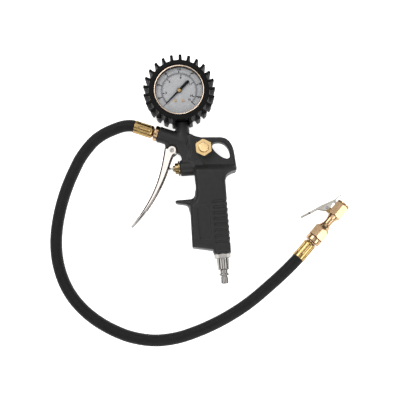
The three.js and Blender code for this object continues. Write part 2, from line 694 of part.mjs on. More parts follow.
const plateOutline = outline([[-9, -16], [9, -16], [14.5, -8], [14.5, 3], [5, 8], [-9, 8]]);
const arborHole = (x, y) => moved(rod(arborR + 0.15, 10, 25, COARSE), x, y);
const postSpots = [[-7, 6], [-7, -13.5], [12.8, -0.5]];
const plateHoles = () => [arborHole(0, 0), arborHole(...sectorPivot)];
const mountSpots = [[-3, -13.8], [3, -13.8]];
const screwClearance = mountSpots.map(([x, y]) => moved(rod(1.1, 10, 20, COARSE), x, y));
const lowerPlate = carve([plate(plateOutline, PLATE.low, PLATE.high)], [...plateHoles(), ...screwClearance]);
addTo(gauge, 'movement_plate_lower', lowerPlate, 'brass');
const upperPlate = carve([plate(plateOutline, PLATE.topLow, PLATE.topHigh)], plateHoles());
addTo(gauge, 'movement_plate_upper', upperPlate, 'brass');
postSpots.forEach(([x, y], i) => {
  const post = moved(rod(1.1, PLATE.high + GAP, PLATE.topLow - GAP, COARSE), x, y);
  addTo(gauge, `movement_post_${i + 1}`, post, 'brass');
});
mountSpots.forEach(([x, y], i) => {
  const screw = turned([
    [9.5, 0], [9.5, 0.8], [PLATE.high + GAP, 0.8], [PLATE.high + GAP, 1.6], [15, 1.6], [15, 0],
  ], COARSE);
  addTo(gauge, `movement_screw_${i + 1}`, moved(screw, x, y), 'steel');
});

function hairspringShape() {
  const turns = 3.5;
  const stepsPerTurn = 16;
  const inner = 1.6;
  const growth = 1.2;
  const half = 0.12;
  const count = turns * stepsPerTurn;
  const edgePoints = (offset) => Array.from({ length: count + 1 }, (unused, i) => {
    const angle = (2 * Math.PI * i) / stepsPerTurn;
    const radius = inner + (growth * i) / stepsPerTurn + offset;
    return [radius * Math.cos(angle), radius * Math.sin(angle)];
  });
  return outline([...edgePoints(half), ...edgePoints(-half).reverse()]);
}

addTo(gauge, 'hairspring', plate(hairspringShape(), 19.3, 20.1), 'steel');

function needleShape() {
  const shape = new THREE.Shape();
  const tail = 14.6;
  const tip = 19.5;
  shape.moveTo(tip, -0.15);
  shape.lineTo(tip, 0.15);
  shape.lineTo(2.6, 0.6);
  shape.absarc(0, 0, 2.67, radians(13), radians(157), false);
  shape.lineTo(-tail + 1.5, 1.55);
  shape.absarc(-tail + 1.5, 0, 1.55, radians(90), radians(270), false);
  shape.lineTo(-2.46, -1.04);
  shape.absarc(0, 0, 2.67, radians(203), radians(347), false);
  shape.closePath();
  return shape;
}

const zeroAngle = 225 + DIAL_TURN;
const needle = carve([plate(needleShape(), 28.4, 28.9, 6)], [rod(arborR + GAP, 28, 29.5, COARSE)]);
addTo(gauge, 'gauge_needle', needle.rotateZ(radians(zeroAngle)), 'black');
addTo(gauge, 'needle_hub', turned([[29.2, 0], [29.2, 2.1], [29.6, 2.1], [29.9, 1.7], [29.9, 0]]), 'brass');

// ---- Gauge: pressure side --------------------------------------------------------------------

function gaugeSocket() {
  const blockTop = PLATE.low - GAP;
  const shape = box([-5, -24.6, 5.5], [5, -11.6, blockTop]);
  const shoulder = box([-5, -24.6, 5.5], [5, -17, MID_Z + 5]);
  const stemRod = alongY(rod(4.9, -31, -18)).translate(0, 0, MID_Z);
  const hex = alongY(hexBar(12, -31.6, -26.6, 0.5)).translate(0, 0, MID_Z);
  const thread = alongY(rod(4.9, -43.5, -31)).translate(0, 0, MID_Z);
  const bore = alongY(rod(1.6, -45, -20, COARSE)).translate(0, 0, MID_Z);
  const screwHoles = mountSpots.map(([x, y]) => moved(rod(1.1, 8, 14, COARSE), x, y));
  return carve([shape, shoulder, stemRod, hex, thread], [bore, ...screwHoles]);
}

addTo(gauge, 'gauge_socket', gaugeSocket(), 'brass');

class TubeArc extends THREE.Curve {
  getPoint(t) {
    const angle = radians(TUBE.start - TUBE.sweep * t);
    const middle = (TUBE.low + TUBE.high) / 2;
    return new THREE.Vector3(TUBE.r * Math.cos(angle), TUBE.r * Math.sin(angle), middle);
  }
}

function bourdonTube() {
  const section = new THREE.Shape();
  section.absellipse(0, 0, (TUBE.high - TUBE.low) / 2, TUBE.half, 0, 2 * Math.PI, false, 0);
  const options = { extrudePath: new TubeArc(), steps: 36, bevelEnabled: false, curveSegments: 5 };
  return new THREE.ExtrudeGeometry(section, options);
}

addTo(gauge, 'bourdon_tube', bourdonTube(), 'brass');
const tipAngle = radians(TUBE.start - TUBE.sweep - 5);
const tubeTip = box([-1.4, -1.2, TUBE.low], [1.4, 1.2, GEAR_HIGH]).rotateZ(tipAngle);
addTo(gauge, 'tube_tip', moved(tubeTip, TUBE.r * Math.cos(tipAngle), TUBE.r * Math.sin(tipAngle)), 'brass');

// ---- Hose and fittings -----------------------------------------------------------------------

function ferrule() {
  const shell = turned([
    [0, 3.5], [0, 5], [1.6, 6.4], [3, 6.8], [FERRULE_LENGTH + 1.5, 6.8],
    [FERRULE_LENGTH + 1.5, 6.6], [FERRULE_LENGTH, 6.6], [FERRULE_LENGTH, 3.5],
  ]);
  const flutes = [];
  const fluteCount = 8;
  for (let i = 0; i < fluteCount; i += 1) {
    const flute = moved(rod(1.5, 3.4, FERRULE_LENGTH - 3.6, 8), 7.6, 0);
    flutes.push(flute.rotateZ((2 * Math.PI * (i + 0.5)) / fluteCount));
  }
  return alongX(carve([shell], flutes));
}

const nearEnd = subassembly(NOSE.x, NOSE.y, MID_Z, NOSE.turn);
const nearFitting = turned([
  [-11, 2], [-11, 6.1], [GAP, 6.2], [GAP, 7.6], [0.8, 8.1], [4.2, 8.1], [4.7, 7.6], [4.7, 4.6],
  [NEAR_FERRULE_START - 0.1, 4.2], [NEAR_FERRULE_START - 0.1, 3.2], [24, 3.2], [24, 2],
]);
addTo(nearEnd, 'hose_fitting_gun', alongX(nearFitting), 'brass');
const nearFerrule = ferrule().translate(NEAR_FERRULE_START, 0, 0);
addTo(nearEnd, 'ferrule_gun', nearFerrule, 'brass');

const route = new THREE.CatmullRomCurve3(HOSE_ROUTE.map((point) => new THREE.Vector3(...point)));
addTo(inflator, 'hose', sweep(roundSection(HOSE_R, HOSE_SIDES), route, HOSE_STEPS), 'hose');

const farEnd = subassembly(CHUCK.x, CHUCK.y, CHUCK.z, CHUCK.turn);
const farFerrule = ferrule().rotateZ(Math.PI).translate(FERRULE_LENGTH + 0.9, 0, 0);
addTo(farEnd, 'ferrule_chuck', farFerrule, 'brass');
const farFitting = turned([
  [1.5, 2], [1.5, 3.2], [20.4, 3.2], [20.4, 3.8], [21.4, 3.8], [21.5, 7.6], [22.2, 8.15], [26.6, 8.15],
  [27.3, 7.6], [27.3, 4.8], [36, 4.7], [36, 2],
]);
addTo(farEnd, 'hose_fitting_chuck', alongX(farFitting), 'brass');

// ---- Chuck -----------------------------------------------------------------------------------

const CLIP_PIVOT = { s: 59.3, t: 10.8 };
const HEX_UP = Math.PI / 2;
const chuckStart = 27.6;
const headStart = 58;
const headEnd = 72.4;

function chuckBody() {
  const waist = turned([
    [38, 0], [38, 7.4], [39.6, 7.6], [42.5, 5.6], [46, 4.2], [50, 4], [53.5, 4.5], [56.4, 5.8],
    [headStart + 0.6, 6.8], [headStart + 0.6, 0],
  ]);
  const lug = box([55.8, 5.2, -1.5], [62.2, 12.8, 1.5]);
  const pieces = [
    alongX(hexBar(16, chuckStart, 39.4, 0.5).rotateZ(HEX_UP)),
    alongX(waist),
    alongX(hexBar(14, headStart, headEnd, 0.5).rotateZ(HEX_UP)),
    lug,
  ];
  const tools = [
    alongX(rod(5, chuckStart - 1, 37)),
    alongX(rod(1.8, 36, 66, COARSE)),
    alongX(rod(5, 64, headEnd + 1)),
    box([67.4, 3, -2.8], [72, 9, 2.8]),
    moved(rod(1.1, -3, 3, COARSE), CLIP_PIVOT.s, CLIP_PIVOT.t),
  ];
  return carve(pieces, tools);
}

addTo(farEnd, 'chuck_body', chuckBody(), 'brass');
const cap = turned([
  [headEnd + GAP, 4], [headEnd + GAP, 6.8], [73.2, 7.1], [74, 7.1], [74.5, 6.6], [74.5, 4],
]);
addTo(farEnd, 'chuck_cap', alongX(cap), 'brass');
addTo(farEnd, 'chuck_seal', alongX(ring(4.6, 2, 64.4, 66.8)), 'seal');
const depressor = turned([
  [60, 0], [60, 1.4], [64.4, 1.4], [64.4, 0.9], [69, 0.9], [69.4, 0.5], [69.4, 0],
], COARSE);
addTo(farEnd, 'depressor_pin', alongX(depressor), 'brass');

const CLIP_HALF = 3.4;
const CLIP_SHEET = 0.7;
const RIM_HALF = 2.2;

function clipSheet() {
  const shape = outline([
    [33.9, 25.3], [42.4, 21.8], [57.4, 16], [72.2, 8.8], [74.2, 9.2], [79.2, 7.8],
    [79.4, 8.6], [74.6, 10.1], [72.6, 9.9], [57.6, 17], [42.6, 22.8], [34.1, 26.2],
  ]);
  return plate(shape, -CLIP_HALF, CLIP_HALF);
}

function chuckClip() {
  const cheekShape = outline([
    [50, 18.8], [56.4, 9.6], [58.4, 8.4], [61.4, 8.6], [66.5, 9.4], [72, 8.8],
    [72.4, 9.6], [57.6, 16.8],
  ]);
  const rimShape = outline([
    [34.1, 26.2], [33.4, 24.1], [42, 20.5], [57.4, 14.5], [57.6, 17], [42.6, 22.8],
  ]);
  const tooth = outline([[68.6, 4.4], [70.6, 4.4], [71, 10.2], [68.6, 11.2]]);
  const inner = CLIP_HALF - CLIP_SHEET;
  const pieces = [
    clipSheet(),
    plate(rimShape, RIM_HALF - CLIP_SHEET, RIM_HALF),
    plate(rimShape, -RIM_HALF, CLIP_SHEET - RIM_HALF),
    plate(cheekShape, inner, CLIP_HALF),
    plate(cheekShape, -CLIP_HALF, -inner),
    plate(tooth, -2.2, 2.2),
  ];
  const tools = [
    moved(rod(1.3, -5, 5, COARSE), CLIP_PIVOT.s, CLIP_PIVOT.t),
    box([30, 20, RIM_HALF], [43, 30, CLIP_HALF + 1]),
    box([30, 20, -CLIP_HALF - 1], [43, 30, -RIM_HALF]),
  ];
  return carve(pieces, tools);
}

addTo(farEnd, 'chuck_clip', chuckClip(), 'steel');
const clipPin = turned([
  [-4.2, 0], [-4.2, 1.5], [-3.7, 1.5], [-3.7, 0.8], [3.7, 0.8], [3.7, 1.5], [4.2, 1.5], [4.2, 0],
], COARSE);
addTo(farEnd, 'clip_pin', moved(clipPin, CLIP_PIVOT.s, CLIP_PIVOT.t), 'steel');
const clipCoil = moved(coil(1.4, 0.2, 1.7, 2.6, 1.5), CLIP_PIVOT.s, CLIP_PIVOT.t);
addTo(farEnd, 'clip_spring', clipCoil, 'steel');

export default inflator;
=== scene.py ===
"""Looks of a tyre inflator gun: casting, trigger, dial gauge in its boot, hose and clip-on chuck.

Shapes are worked out in millimetres in the CAD frame and turned into metres when a mesh is made.
"""

import math

import bmesh
import bpy
import numpy as np
from mathutils import Matrix, Vector


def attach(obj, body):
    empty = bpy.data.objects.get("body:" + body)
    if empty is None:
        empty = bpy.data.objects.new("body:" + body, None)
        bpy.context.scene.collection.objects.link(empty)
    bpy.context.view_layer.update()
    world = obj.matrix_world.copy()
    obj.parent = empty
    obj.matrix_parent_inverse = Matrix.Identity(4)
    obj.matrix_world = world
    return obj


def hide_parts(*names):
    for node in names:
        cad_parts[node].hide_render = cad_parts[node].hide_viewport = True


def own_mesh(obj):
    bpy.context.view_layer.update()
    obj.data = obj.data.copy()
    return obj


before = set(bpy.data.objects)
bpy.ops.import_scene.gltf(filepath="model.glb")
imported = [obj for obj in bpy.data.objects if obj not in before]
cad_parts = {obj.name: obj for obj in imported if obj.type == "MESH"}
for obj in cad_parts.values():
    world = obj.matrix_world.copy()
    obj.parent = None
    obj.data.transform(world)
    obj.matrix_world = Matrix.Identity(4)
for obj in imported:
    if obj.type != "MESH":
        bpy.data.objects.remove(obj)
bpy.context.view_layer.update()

MM = 0.001
MID_Z = 14
PIVOT = (-8.75, 22.1)
GAUGE = (3.8, 83.6)
DIAL_TURN = -3.6
BLEED = (24.5, 20.8)
VALVE_Y = 3.1
INLET = (35.3, -90.3)
NOSE = (-21.4, 41.3)
NOSE_TURN = 157.5
CHUCK = (114.5, -100, 9.4)
CHUCK_TURN = 44.7
HOSE_R = 6.3
HOSE_ROUTE = [
    (-45.4, 51.25, 14), (-48.6, 52.55, 14), (-57, 53.2, 12.8), (-68, 51.2, 10.2), (-79.5, 47.3, 8.2),
    (-90, 41.2, 6.9), (-99.8, 31.7, 6.5), (-107.4, 22, 6.5), (-114, 10.6, 6.5), (-120.1, -1.1, 6.5),
    (-125.5, -13.4, 6.5), (-130, -25.8, 6.5), (-133.6, -38.3, 6.5), (-136.3, -50.8, 6.5),
    (-137.9, -64, 6.5), (-137.9, -78.5, 6.5), (-135.8, -93.4, 6.5), (-131.5, -108, 6.5),
    (-124.7, -122, 6.5), (-115, -135.2, 6.5), (-102.5, -147.4, 6.5), (-87, -158.4, 6.5),
    (-67, -168.3, 6.5), (-43, -174, 6.5), (-19, -173.3, 6.5), (4, -167.8, 6.5), (25, -160.3, 6.5),
    (44, -151.5, 6.5), (62, -141, 6.6), (81.4, -127.2, 7.2), (98.5, -114.1, 8.6),
    (111.6, -102.9, 9.4), (114.2, -100.3, 9.4),
]

# ---- Camera ----

CAMERA_AIM = Vector((16.5, -32.0, 14.0)) * MM
CAMERA_DISTANCE = 1.15
CAMERA_ELEVATION = math.radians(83)
CAMERA_ROLL = math.radians(4.6)
VIEW_WIDTH = 0.42


def make_camera():
    data = bpy.data.cameras.new("camera")
    data.lens = data.sensor_width * CAMERA_DISTANCE / VIEW_WIDTH
    data.clip_start = 0.1
    camera = bpy.data.objects.new("camera", data)
    bpy.context.scene.collection.objects.link(camera)
    right = Vector((math.cos(CAMERA_ROLL), -math.sin(CAMERA_ROLL), 0))
    away = Vector((math.sin(CAMERA_ROLL), math.cos(CAMERA_ROLL), 0))
    back = Vector((0, 0, math.sin(CAMERA_ELEVATION))) - away * math.cos(CAMERA_ELEVATION)
    turn = Matrix((right, back.cross(right), back)).transposed().to_4x4()
    camera.matrix_world = Matrix.Translation(CAMERA_AIM + back * CAMERA_DISTANCE) @ turn
    bpy.context.scene.camera = camera


make_camera()

# ---- Materials ----


def shade(red, green, blue):
    """A colour from 0 to 255 sRGB levels."""
    levels = (value / 255 for value in (red, green, blue))
    return tuple(v / 12.92 if v <= 0.04045 else ((v + 0.055) / 1.055) ** 2.4 for v in levels) + (1,)


class Finish:
    """A procedural material under construction."""

    def __init__(self, name):
        self.material = bpy.data.materials.new(name)
        self.material.use_nodes = True
        self.tree = self.material.node_tree
        self.shader = self.tree.nodes["Principled BSDF"]
        self.where = self.add("ShaderNodeTexCoord").outputs["Object"]

    def add(self, kind, inputs=None, **settings):
        node = self.tree.nodes.new(kind)
        for key, value in settings.items():
            setattr(node, key, value)
        self.feed(node, inputs or {})
        return node

    def feed(self, node, inputs):
        for key, value in inputs.items():
            if isinstance(value, bpy.types.NodeSocket):
                self.tree.links.new(value, node.inputs[key])
            else:
                node.inputs[key].default_value = value

    def noise(self, scale, stretch=(1, 1, 1), detail=4, rough=0.55):
        mapped = self.add("ShaderNodeMapping", {"Vector": self.where, "Scale": stretch})
        inputs = {"Vector": mapped.outputs["Vector"], "Scale": scale, "Detail": detail, "Roughness": rough}
        return self.add("ShaderNodeTexNoise", inputs).outputs["Fac"]

    def spread(self, value, low, high, start=0.3, end=0.7):
        inputs = {"Value": value, "From Min": start, "From Max": end, "To Min": low, "To Max": high}
        return self.add("ShaderNodeMapRange", inputs).outputs["Result"]

    def blend(self, share, first, second):
        node = self.add("ShaderNodeMix", data_type="RGBA")
        self.feed(node, {0: share, 6: first, 7: second})
        return node.outputs[2]

    def bump(self, height, depth, under=None):
        inputs = {"Height": height, "Distance": depth * MM, "Strength": 1.0}
        if under:
            inputs["Normal"] = under
        return self.add("ShaderNodeBump", inputs).outputs["Normal"]

    def edges(self, low=0.5, high=0.56):
        """0 on flats, 1 on sharp edges, where rubbed wear and a painted highlight pale the paint."""
        pointed = self.add("ShaderNodeNewGeometry").outputs["Pointiness"]
        return self.spread(pointed, 0, 1, low, high)

    def level_faces(self):
        """1 on the broad faces, 0 on the folds and sides that stand on edge, where shade is painted."""
        normal = self.add("ShaderNodeTexCoord").outputs["Normal"]
        rise = self.add("ShaderNodeSeparateXYZ", {0: normal}).outputs["Z"]
        steep = self.add("ShaderNodeMath", {0: rise}, operation="ABSOLUTE").outputs[0]
        return self.spread(steep, 0, 1, 0.84, 0.96)

    def set(self, **sockets):
        self.feed(self.shader, {key.replace("_", " "): value for key, value in sockets.items()})
        return self.material


def metal(
    name, dark, light, rough, spread=0.05, grain=0.0012, stretch=(1, 1, 1),
    tint=None, turned=0.0, rim=None, edge=1.0,
):
    """Bare or plated metal: cloudy tone, uneven polish and fine tool marks.

    A tint gathers in patches, a rim colour paints shade on what stands on edge, and edge below 1 darkens
    grazing sides.
    """
    f = Finish(name)
    tone = f.spread(f.noise(140, stretch), 0, 1)
    colour = f.blend(tone, shade(*dark), shade(*light))
    if tint:
        colour = f.blend(f.spread(f.noise(60, detail=6, rough=0.7), 0, 0.6, 0.52, 0.75), colour, shade(*tint))
    # Painted shade: the rim colour darkens sides standing on edge, in place of the dark reflections they
    # would catch.
    if rim:
        colour = f.blend(f.level_faces(), shade(*rim), colour)
    polish = f.spread(f.noise(900, stretch, detail=5), rough - spread, rough + spread)
    normal = f.bump(f.noise(5200, stretch, detail=3), grain)
    if turned:
        normal = f.bump(f.noise(1700, (0.02, 0.02, 3.0), detail=2), turned, normal)
    tint_at_edge = (edge, edge, edge, 1)
    return f.set(Base_Color=colour, Metallic=1.0, Roughness=polish, Normal=normal, Specular_Tint=tint_at_edge)


def rubber(name, dark, light, rough, grain=0.02, scale=2600, dust=None, gloss=0.4):
    """Black rubber or ink: faint mottling, patches of dust and a fine grain."""
    f = Finish(name)
    colour = f.blend(f.spread(f.noise(220), 0, 1), shade(*dark), shade(*light))
    dusty = f.spread(f.noise(45, detail=6, rough=0.65), 0, 0.35, 0.5, 0.72)
    colour = f.blend(dusty, colour, shade(*(dust or light)))
    polish = f.spread(f.noise(600, detail=5), rough - 0.07, rough + 0.07)
    normal = f.bump(f.noise(scale, detail=5, rough=0.6), grain)
    return f.set(Base_Color=colour, Roughness=polish, Normal=normal, Specular_IOR_Level=gloss)


def paint_finish():
    """Satin paint over a die casting: fine orange peel, faint mottling, edges paler from rubbed wear and a
    painted highlight.
    """
    f = Finish("satin_paint")
    body = f.blend(f.spread(f.noise(180), 0, 1), shade(31, 31, 32), shade(36, 36, 36))
    wear_and_highlight_patches = f.spread(f.noise(1100, detail=5), 0.15, 0.75)
    # Paler edges are partly rubbed wear and partly a painted highlight.
    wear_and_highlight = f.add("ShaderNodeMath", {0: f.edges(0.51, 0.58), 1: wear_and_highlight_patches}, operation="MULTIPLY").outputs[0]
    colour = f.blend(wear_and_highlight, body, shade(66, 65, 64))
    polish = f.spread(f.noise(700, detail=6), 0.4, 0.52)
    peel = f.bump(f.noise(1500, detail=2), 0.012)
    normal = f.bump(f.noise(6000, detail=3), 0.004, peel)
    return f.set(Base_Color=colour, Metallic=0.0, Roughness=polish, Normal=normal, Specular_IOR_Level=0.25)


def dial_finish():
    """Silvered dial: fine mottling under a matt lacquer."""
    f = Finish("silver_dial")
    colour = f.blend(f.spread(f.noise(380, detail=6), 0, 1), shade(162, 163, 166), shade(174, 175, 177))
    polish = f.spread(f.noise(1500), 0.42, 0.55)
    normal = f.bump(f.noise(9000, detail=3), 0.0015)
    return f.set(Base_Color=colour, Metallic=0.25, Roughness=polish, Normal=normal)


def glass_finish():
    f = Finish("gauge_glass")
    colour = f.blend(f.spread(f.noise(120), 0, 1), shade(30, 32, 33), shade(40, 42, 43))
    polish = f.spread(f.noise(300), 0.02, 0.05)
    return f.set(Base_Color=colour, Roughness=polish, Alpha=0.04, Specular_IOR_Level=0.5)


PAINT = paint_finish()
SILVER = dial_finish()
GLASS = glass_finish()
BRASS = metal(
    "turned_brass", (180, 150, 116), (192, 162, 128), 0.22, grain=0.0006, tint=(160, 128, 92),
    turned=0.002, edge=0.5,
)
# Polished brass for the bleed knob, its base lighter than real brass as painted light from the key lamp.
BRASS_PAINTED_LIGHT = metal(
    "polished_brass_painted_light", (240, 206, 150), (250, 218, 164), 0.2, grain=0.0004, tint=(226, 190, 132),
)
NUT_BRASS = metal("nut_brass", (218, 186, 134), (230, 198, 146), 0.2, grain=0.0004, tint=(198, 164, 110))
BRASS_PLAIN = metal(
    "brass", (160, 134, 86), (180, 152, 104), 0.24, grain=0.0006, tint=(126, 100, 60), edge=0.4,
)
DULL_BRASS = metal(
    "dull_brass", (128, 110, 76), (148, 128, 92), 0.26, grain=0.0006, tint=(104, 84, 54), edge=0.4,
)
COPPER = metal("copper", (190, 148, 112), (206, 164, 126), 0.3)
GOLD = metal("bezel_gold", (228, 204, 180), (240, 220, 200), 0.22, grain=0.0004, stretch=(1, 1, 0.2))
# The chrome's rim colour is painted shade on the pressing's folded sides.
CHROME = metal(
    "chrome", (246, 236, 229), (254, 244, 237), 0.14, spread=0.03, grain=0.0004,
    rim=(136, 131, 128), edge=0.3,
)
NICKEL = metal("nickel", (162, 159, 156), (182, 179, 175), 0.1, turned=0.002, edge=0.15)
STEEL = metal("steel", (150, 149, 147), (184, 183, 181), 0.28, turned=0.003)
# The rim colour is painted shade on the clip's sides.
SPRING_STEEL = metal("spring_steel", (176, 170, 160), (206, 202, 194), 0.22, spread=0.05, rim=(104, 100, 94))
SPRING_WIRE = metal("spring_wire", (170, 166, 158), (206, 202, 194), 0.22, spread=0.05)
DARK_METAL = metal("case_black", (26, 26, 27), (38, 38, 39), 0.42)
BOOT_RUBBER = rubber("boot_rubber", (7, 7, 7), (12, 12, 12), 0.5, dust=(21, 21, 21), gloss=0.1)
HOSE_RUBBER = rubber("hose_rubber", (17, 17, 17), (24, 24, 24), 0.55, 0.02, 1800, gloss=0.15)
SEAL = rubber("seal_rubber", (40, 40, 41), (54, 53, 52), 0.7)
PRINT = rubber("dial_print", (6, 6, 8), (12, 12, 14), 0.5, grain=0.001, gloss=0.1)
PRINT_GREY = rubber("dial_band", (112, 113, 118), (122, 123, 127), 0.5, grain=0.001)
NEEDLE = rubber("needle_paint", (6, 6, 7), (12, 12, 13), 0.5, grain=0.001, gloss=0.1)

# ---- Mesh tools ----


def show(name, verts, faces, material, nodes=(), slot=None, body="root", matrix=None, sharp=32):
    """Makes a piece from points in millimetres, riding on a CAD body and standing for CAD nodes."""
    mesh = bpy.data.meshes.new(name)
    mesh.from_pydata((np.asarray(verts, float) * MM).tolist(), [], [list(map(int, f)) for f in faces])
    mesh.shade_smooth()
    mesh.set_sharp_from_angle(angle=math.radians(sharp))
    mesh.materials.append(material)
    piece = bpy.data.objects.new(name, mesh)
    bpy.context.scene.collection.objects.link(piece)
    if matrix is not None:
        piece.matrix_world = matrix
    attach(piece, body)
    if nodes:
        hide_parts(*nodes)
    return piece


def spot(x, y, z=0, turn=0):
    return Matrix.Translation(Vector((x, y, z)) * MM) @ Matrix.Rotation(math.radians(turn), 4, "Z")


ALONG_X = Matrix.Rotation(math.pi / 2, 4, "Y")


def trace(steps, per_curve=14):
    """An outline from points, with (control, end) or (control, control, end) tuples for its curves."""
    points = [np.array(steps[0], float)]
    for step in steps[1:]:
        knots = [points[-1], *np.array(step, float).reshape(-1, 2)]
        count = 1 if len(knots) == 2 else per_curve
        for t in np.linspace(0, 1, count + 1)[1:]:
            row = knots
            while len(row) > 1:
                row = [a + (b - a) * t for a, b in zip(row, row[1:])]
            points.append(row[0])
    return np.array(points)


def arc(x, y, radius, start, end, count=24):
    angles = np.radians(np.linspace(start, end, count + 1))
    return [(x + radius * math.cos(a), y + radius * math.sin(a)) for a in angles]


def soften(profile, radius, closed):
    """Rounds a profile's corners, as a real edge is."""
    points = [np.array(p, float) for p in profile]
    count = len(points)
    made = []
    for i, point in enumerate(points):
        if not closed and i in (0, count - 1):
            made.append(point)
            continue
        before, after = points[i - 1] - point, points[(i + 1) % count] - point
        reach = [min(radius, 0.45 * np.linalg.norm(v)) for v in (before, after)]
        start = point + before / np.linalg.norm(before) * reach[0]
        end = point + after / np.linalg.norm(after) * reach[1]
        for t in (0, 0.33, 0.67, 1):
            made.append(start * (1 - t) ** 2 + point * 2 * t * (1 - t) + end * t * t)
    return made


def turned(profile, sides=96, soft=0.15, section=None, step=None):
    """A solid of revolution about Z from (height, radius) pairs.

    section(height, radius, angles) reshapes a row, and step is the longest stride between rows.
    """
    closed = profile[0][1] > 0
    rows = soften(profile, soft, closed) if soft else [np.array(p, float) for p in profile]
    if step:
        filled = []
        for a, b in zip(rows, rows[1:] + rows[:1] if closed else rows[1:]):
            parts = max(1, math.ceil(np.linalg.norm(b - a) / step))
            filled += [a + (b - a) * k / parts for k in range(parts)]
        rows = filled if closed else [*filled, rows[-1]]
    angles = np.linspace(0, 2 * math.pi, sides, endpoint=False)
    verts, rings = [], []
    for height, radius in rows:
        if radius < 1e-6:
            rings.append([len(verts)])
            verts.append((0, 0, height))
            continue
        radii = section(height, radius, angles) if section else np.full(sides, radius)
        rings.append(range(len(verts), len(verts) + sides))
        verts += list(zip(radii * np.cos(angles), radii * np.sin(angles), np.full(sides, height)))
    faces = []
    for a, b in zip(rings, [*rings[1:], rings[0]] if closed else rings[1:]):
        for i in range(sides):
            j = (i + 1) % sides
            quad = [a[i % len(a)], a[j % len(a)], b[j % len(b)], b[i % len(b)]]
            face = list(dict.fromkeys(quad))
            if len(face) > 2:
                faces.append(face)
    heights = np.array([row[0] for row in rows])
    radii = np.array([row[1] for row in rows])
    area = np.sum((np.roll(heights, -1) - heights) * (np.roll(radii, -1) + radii))
    return verts, faces if area > 0 else [face[::-1] for face in faces]


def hexed(across, turn=0.0):
    """A section for turned(): the round is milled to a hexagon."""
    def section(height, radius, angles):
        folded = (angles - math.radians(turn) + math.pi / 6) % (math.pi / 3) - math.pi / 6
        return np.minimum(radius, across / 2 / np.cos(folded))
    return section


BIG_HEX = 16
SMALL_HEX = 14
BIG_CORNER = BIG_HEX / math.sqrt(3)
SMALL_CORNER = SMALL_HEX / math.sqrt(3)


class Field:
    """Signed distances on a grid of points, negative inside, and the surface where they are zero."""

    def __init__(self, low, high, pitch):
        self.pitch = pitch
        self.low = np.array(low, float) - 2 * pitch
        counts = np.ceil((np.array(high) - self.low) / pitch).astype(int) + 3
        self.x, self.y, self.z = np.ogrid[0:counts[0], 0:counts[1], 0:counts[2]]
        self.x, self.y, self.z = (
            grid * pitch + start for grid, start in zip((self.x, self.y, self.z), self.low)
        )

    def flat(self, outline, x=None, y=None):
        """Distance to an outline in X and Y."""
        x = self.x[..., 0] if x is None else x
        y = self.y[..., 0] if y is None else y
        best, inside = np.inf, False
        for (ax, ay), (bx, by) in zip(outline, np.roll(outline, -1, 0)):
            ex, ey = bx - ax, by - ay
            if ex * ex + ey * ey < 1e-12:
                continue
            t = np.clip(((x - ax) * ex + (y - ay) * ey) / (ex * ex + ey * ey), 0, 1)
            best = np.minimum(best, (x - ax - ex * t) ** 2 + (y - ay - ey * t) ** 2)
            if ey:
                inside = inside ^ (((ay > y) != (by > y)) & (x < ex * (y - ay) / ey + ax))
        distance = np.where(inside, -np.sqrt(best), np.sqrt(best))
        return distance[..., None] if distance.ndim == 2 else distance

    def slab(self, flat, low, high, edge):
        return rounded(flat, np.abs(self.z - (low + high) / 2) - (high - low) / 2, edge)

    def rod(self, origin, direction, radius, low, high, edge=0.0):
        d = np.array(direction, float) / np.linalg.norm(direction)
        dx, dy, dz = self.x - origin[0], self.y - origin[1], self.z - origin[2]
        along = dx * d[0] + dy * d[1] + dz * d[2]
        across = np.sqrt(np.maximum(dx * dx + dy * dy + dz * dz - along * along, 0))
        return rounded(across - radius, np.abs(along - (low + high) / 2) - (high - low) / 2, edge)

    def surface(self, values):
        """Vertices and quads of the zero surface, one vertex per crossed cell."""
        inside = values < 0
        cells = tuple(n - 1 for n in values.shape)
        corners = [(i, j, k) for i in (0, 1) for j in (0, 1) for k in (0, 1)]
        count = np.zeros(cells, np.int8)
        for o in corners:
            count += inside[tuple(slice(o[a], o[a] + cells[a]) for a in range(3))]
        active = np.argwhere((count > 0) & (count < 8))
        number = np.full(cells, -1, np.int64)
        number[tuple(active.T)] = np.arange(len(active))
        total, hits = np.zeros((len(active), 3)), np.zeros(len(active))
        for axis in range(3):
            for o in corners:
                if o[axis]:
                    continue
                end = list(o)
                end[axis] = 1
                a = values[tuple((active + o).T)]
                b = values[tuple((active + end).T)]
                crossed = (a < 0) != (b < 0)
                where = np.broadcast_to(np.array(o, float), (len(active), 3)).copy()
                where[:, axis] = np.where(crossed, a / np.where(crossed, a - b, 1), 0)
                total += where * crossed[:, None]
                hits += crossed
        verts = (active + total / hits[:, None]) * self.pitch + self.low
        faces = []
        for axis in range(3):
            one, two = (axis + 1) % 3, (axis + 2) % 3
            first = [slice(None)] * 3
            second = [slice(None)] * 3
            first[axis], second[axis] = slice(0, -1), slice(1, None)
            edge = inside[tuple(first)].astype(np.int8) - inside[tuple(second)].astype(np.int8)
            where = np.argwhere(edge)
            signs = edge[tuple(where.T)]
            steps = []
            for move in ((0, 0), (-1, 0), (-1, -1), (0, -1)):
                offset = np.zeros(3, int)
                offset[one], offset[two] = move
                steps.append(number[tuple((where + offset).T)])
            quads = np.stack(steps, 1)
            quads[signs < 0] = quads[signs < 0][:, ::-1]
            faces.append(quads)
        return verts, np.concatenate(faces)


def rounded(a, b, edge):
    """Where both distances are negative, with the corner between them rounded off."""
    a, b = a + edge, b + edge
    return np.minimum(np.maximum(a, b), 0) + np.hypot(np.maximum(a, 0), np.maximum(b, 0)) - edge


def join(a, b, soft=0.0):
    """Both shapes, with a fillet of about that radius where they meet."""
    if not soft:
        return np.minimum(a, b)
    share = np.maximum(soft - np.abs(a - b), 0) / soft
    return np.minimum(a, b) - share * share * soft / 4


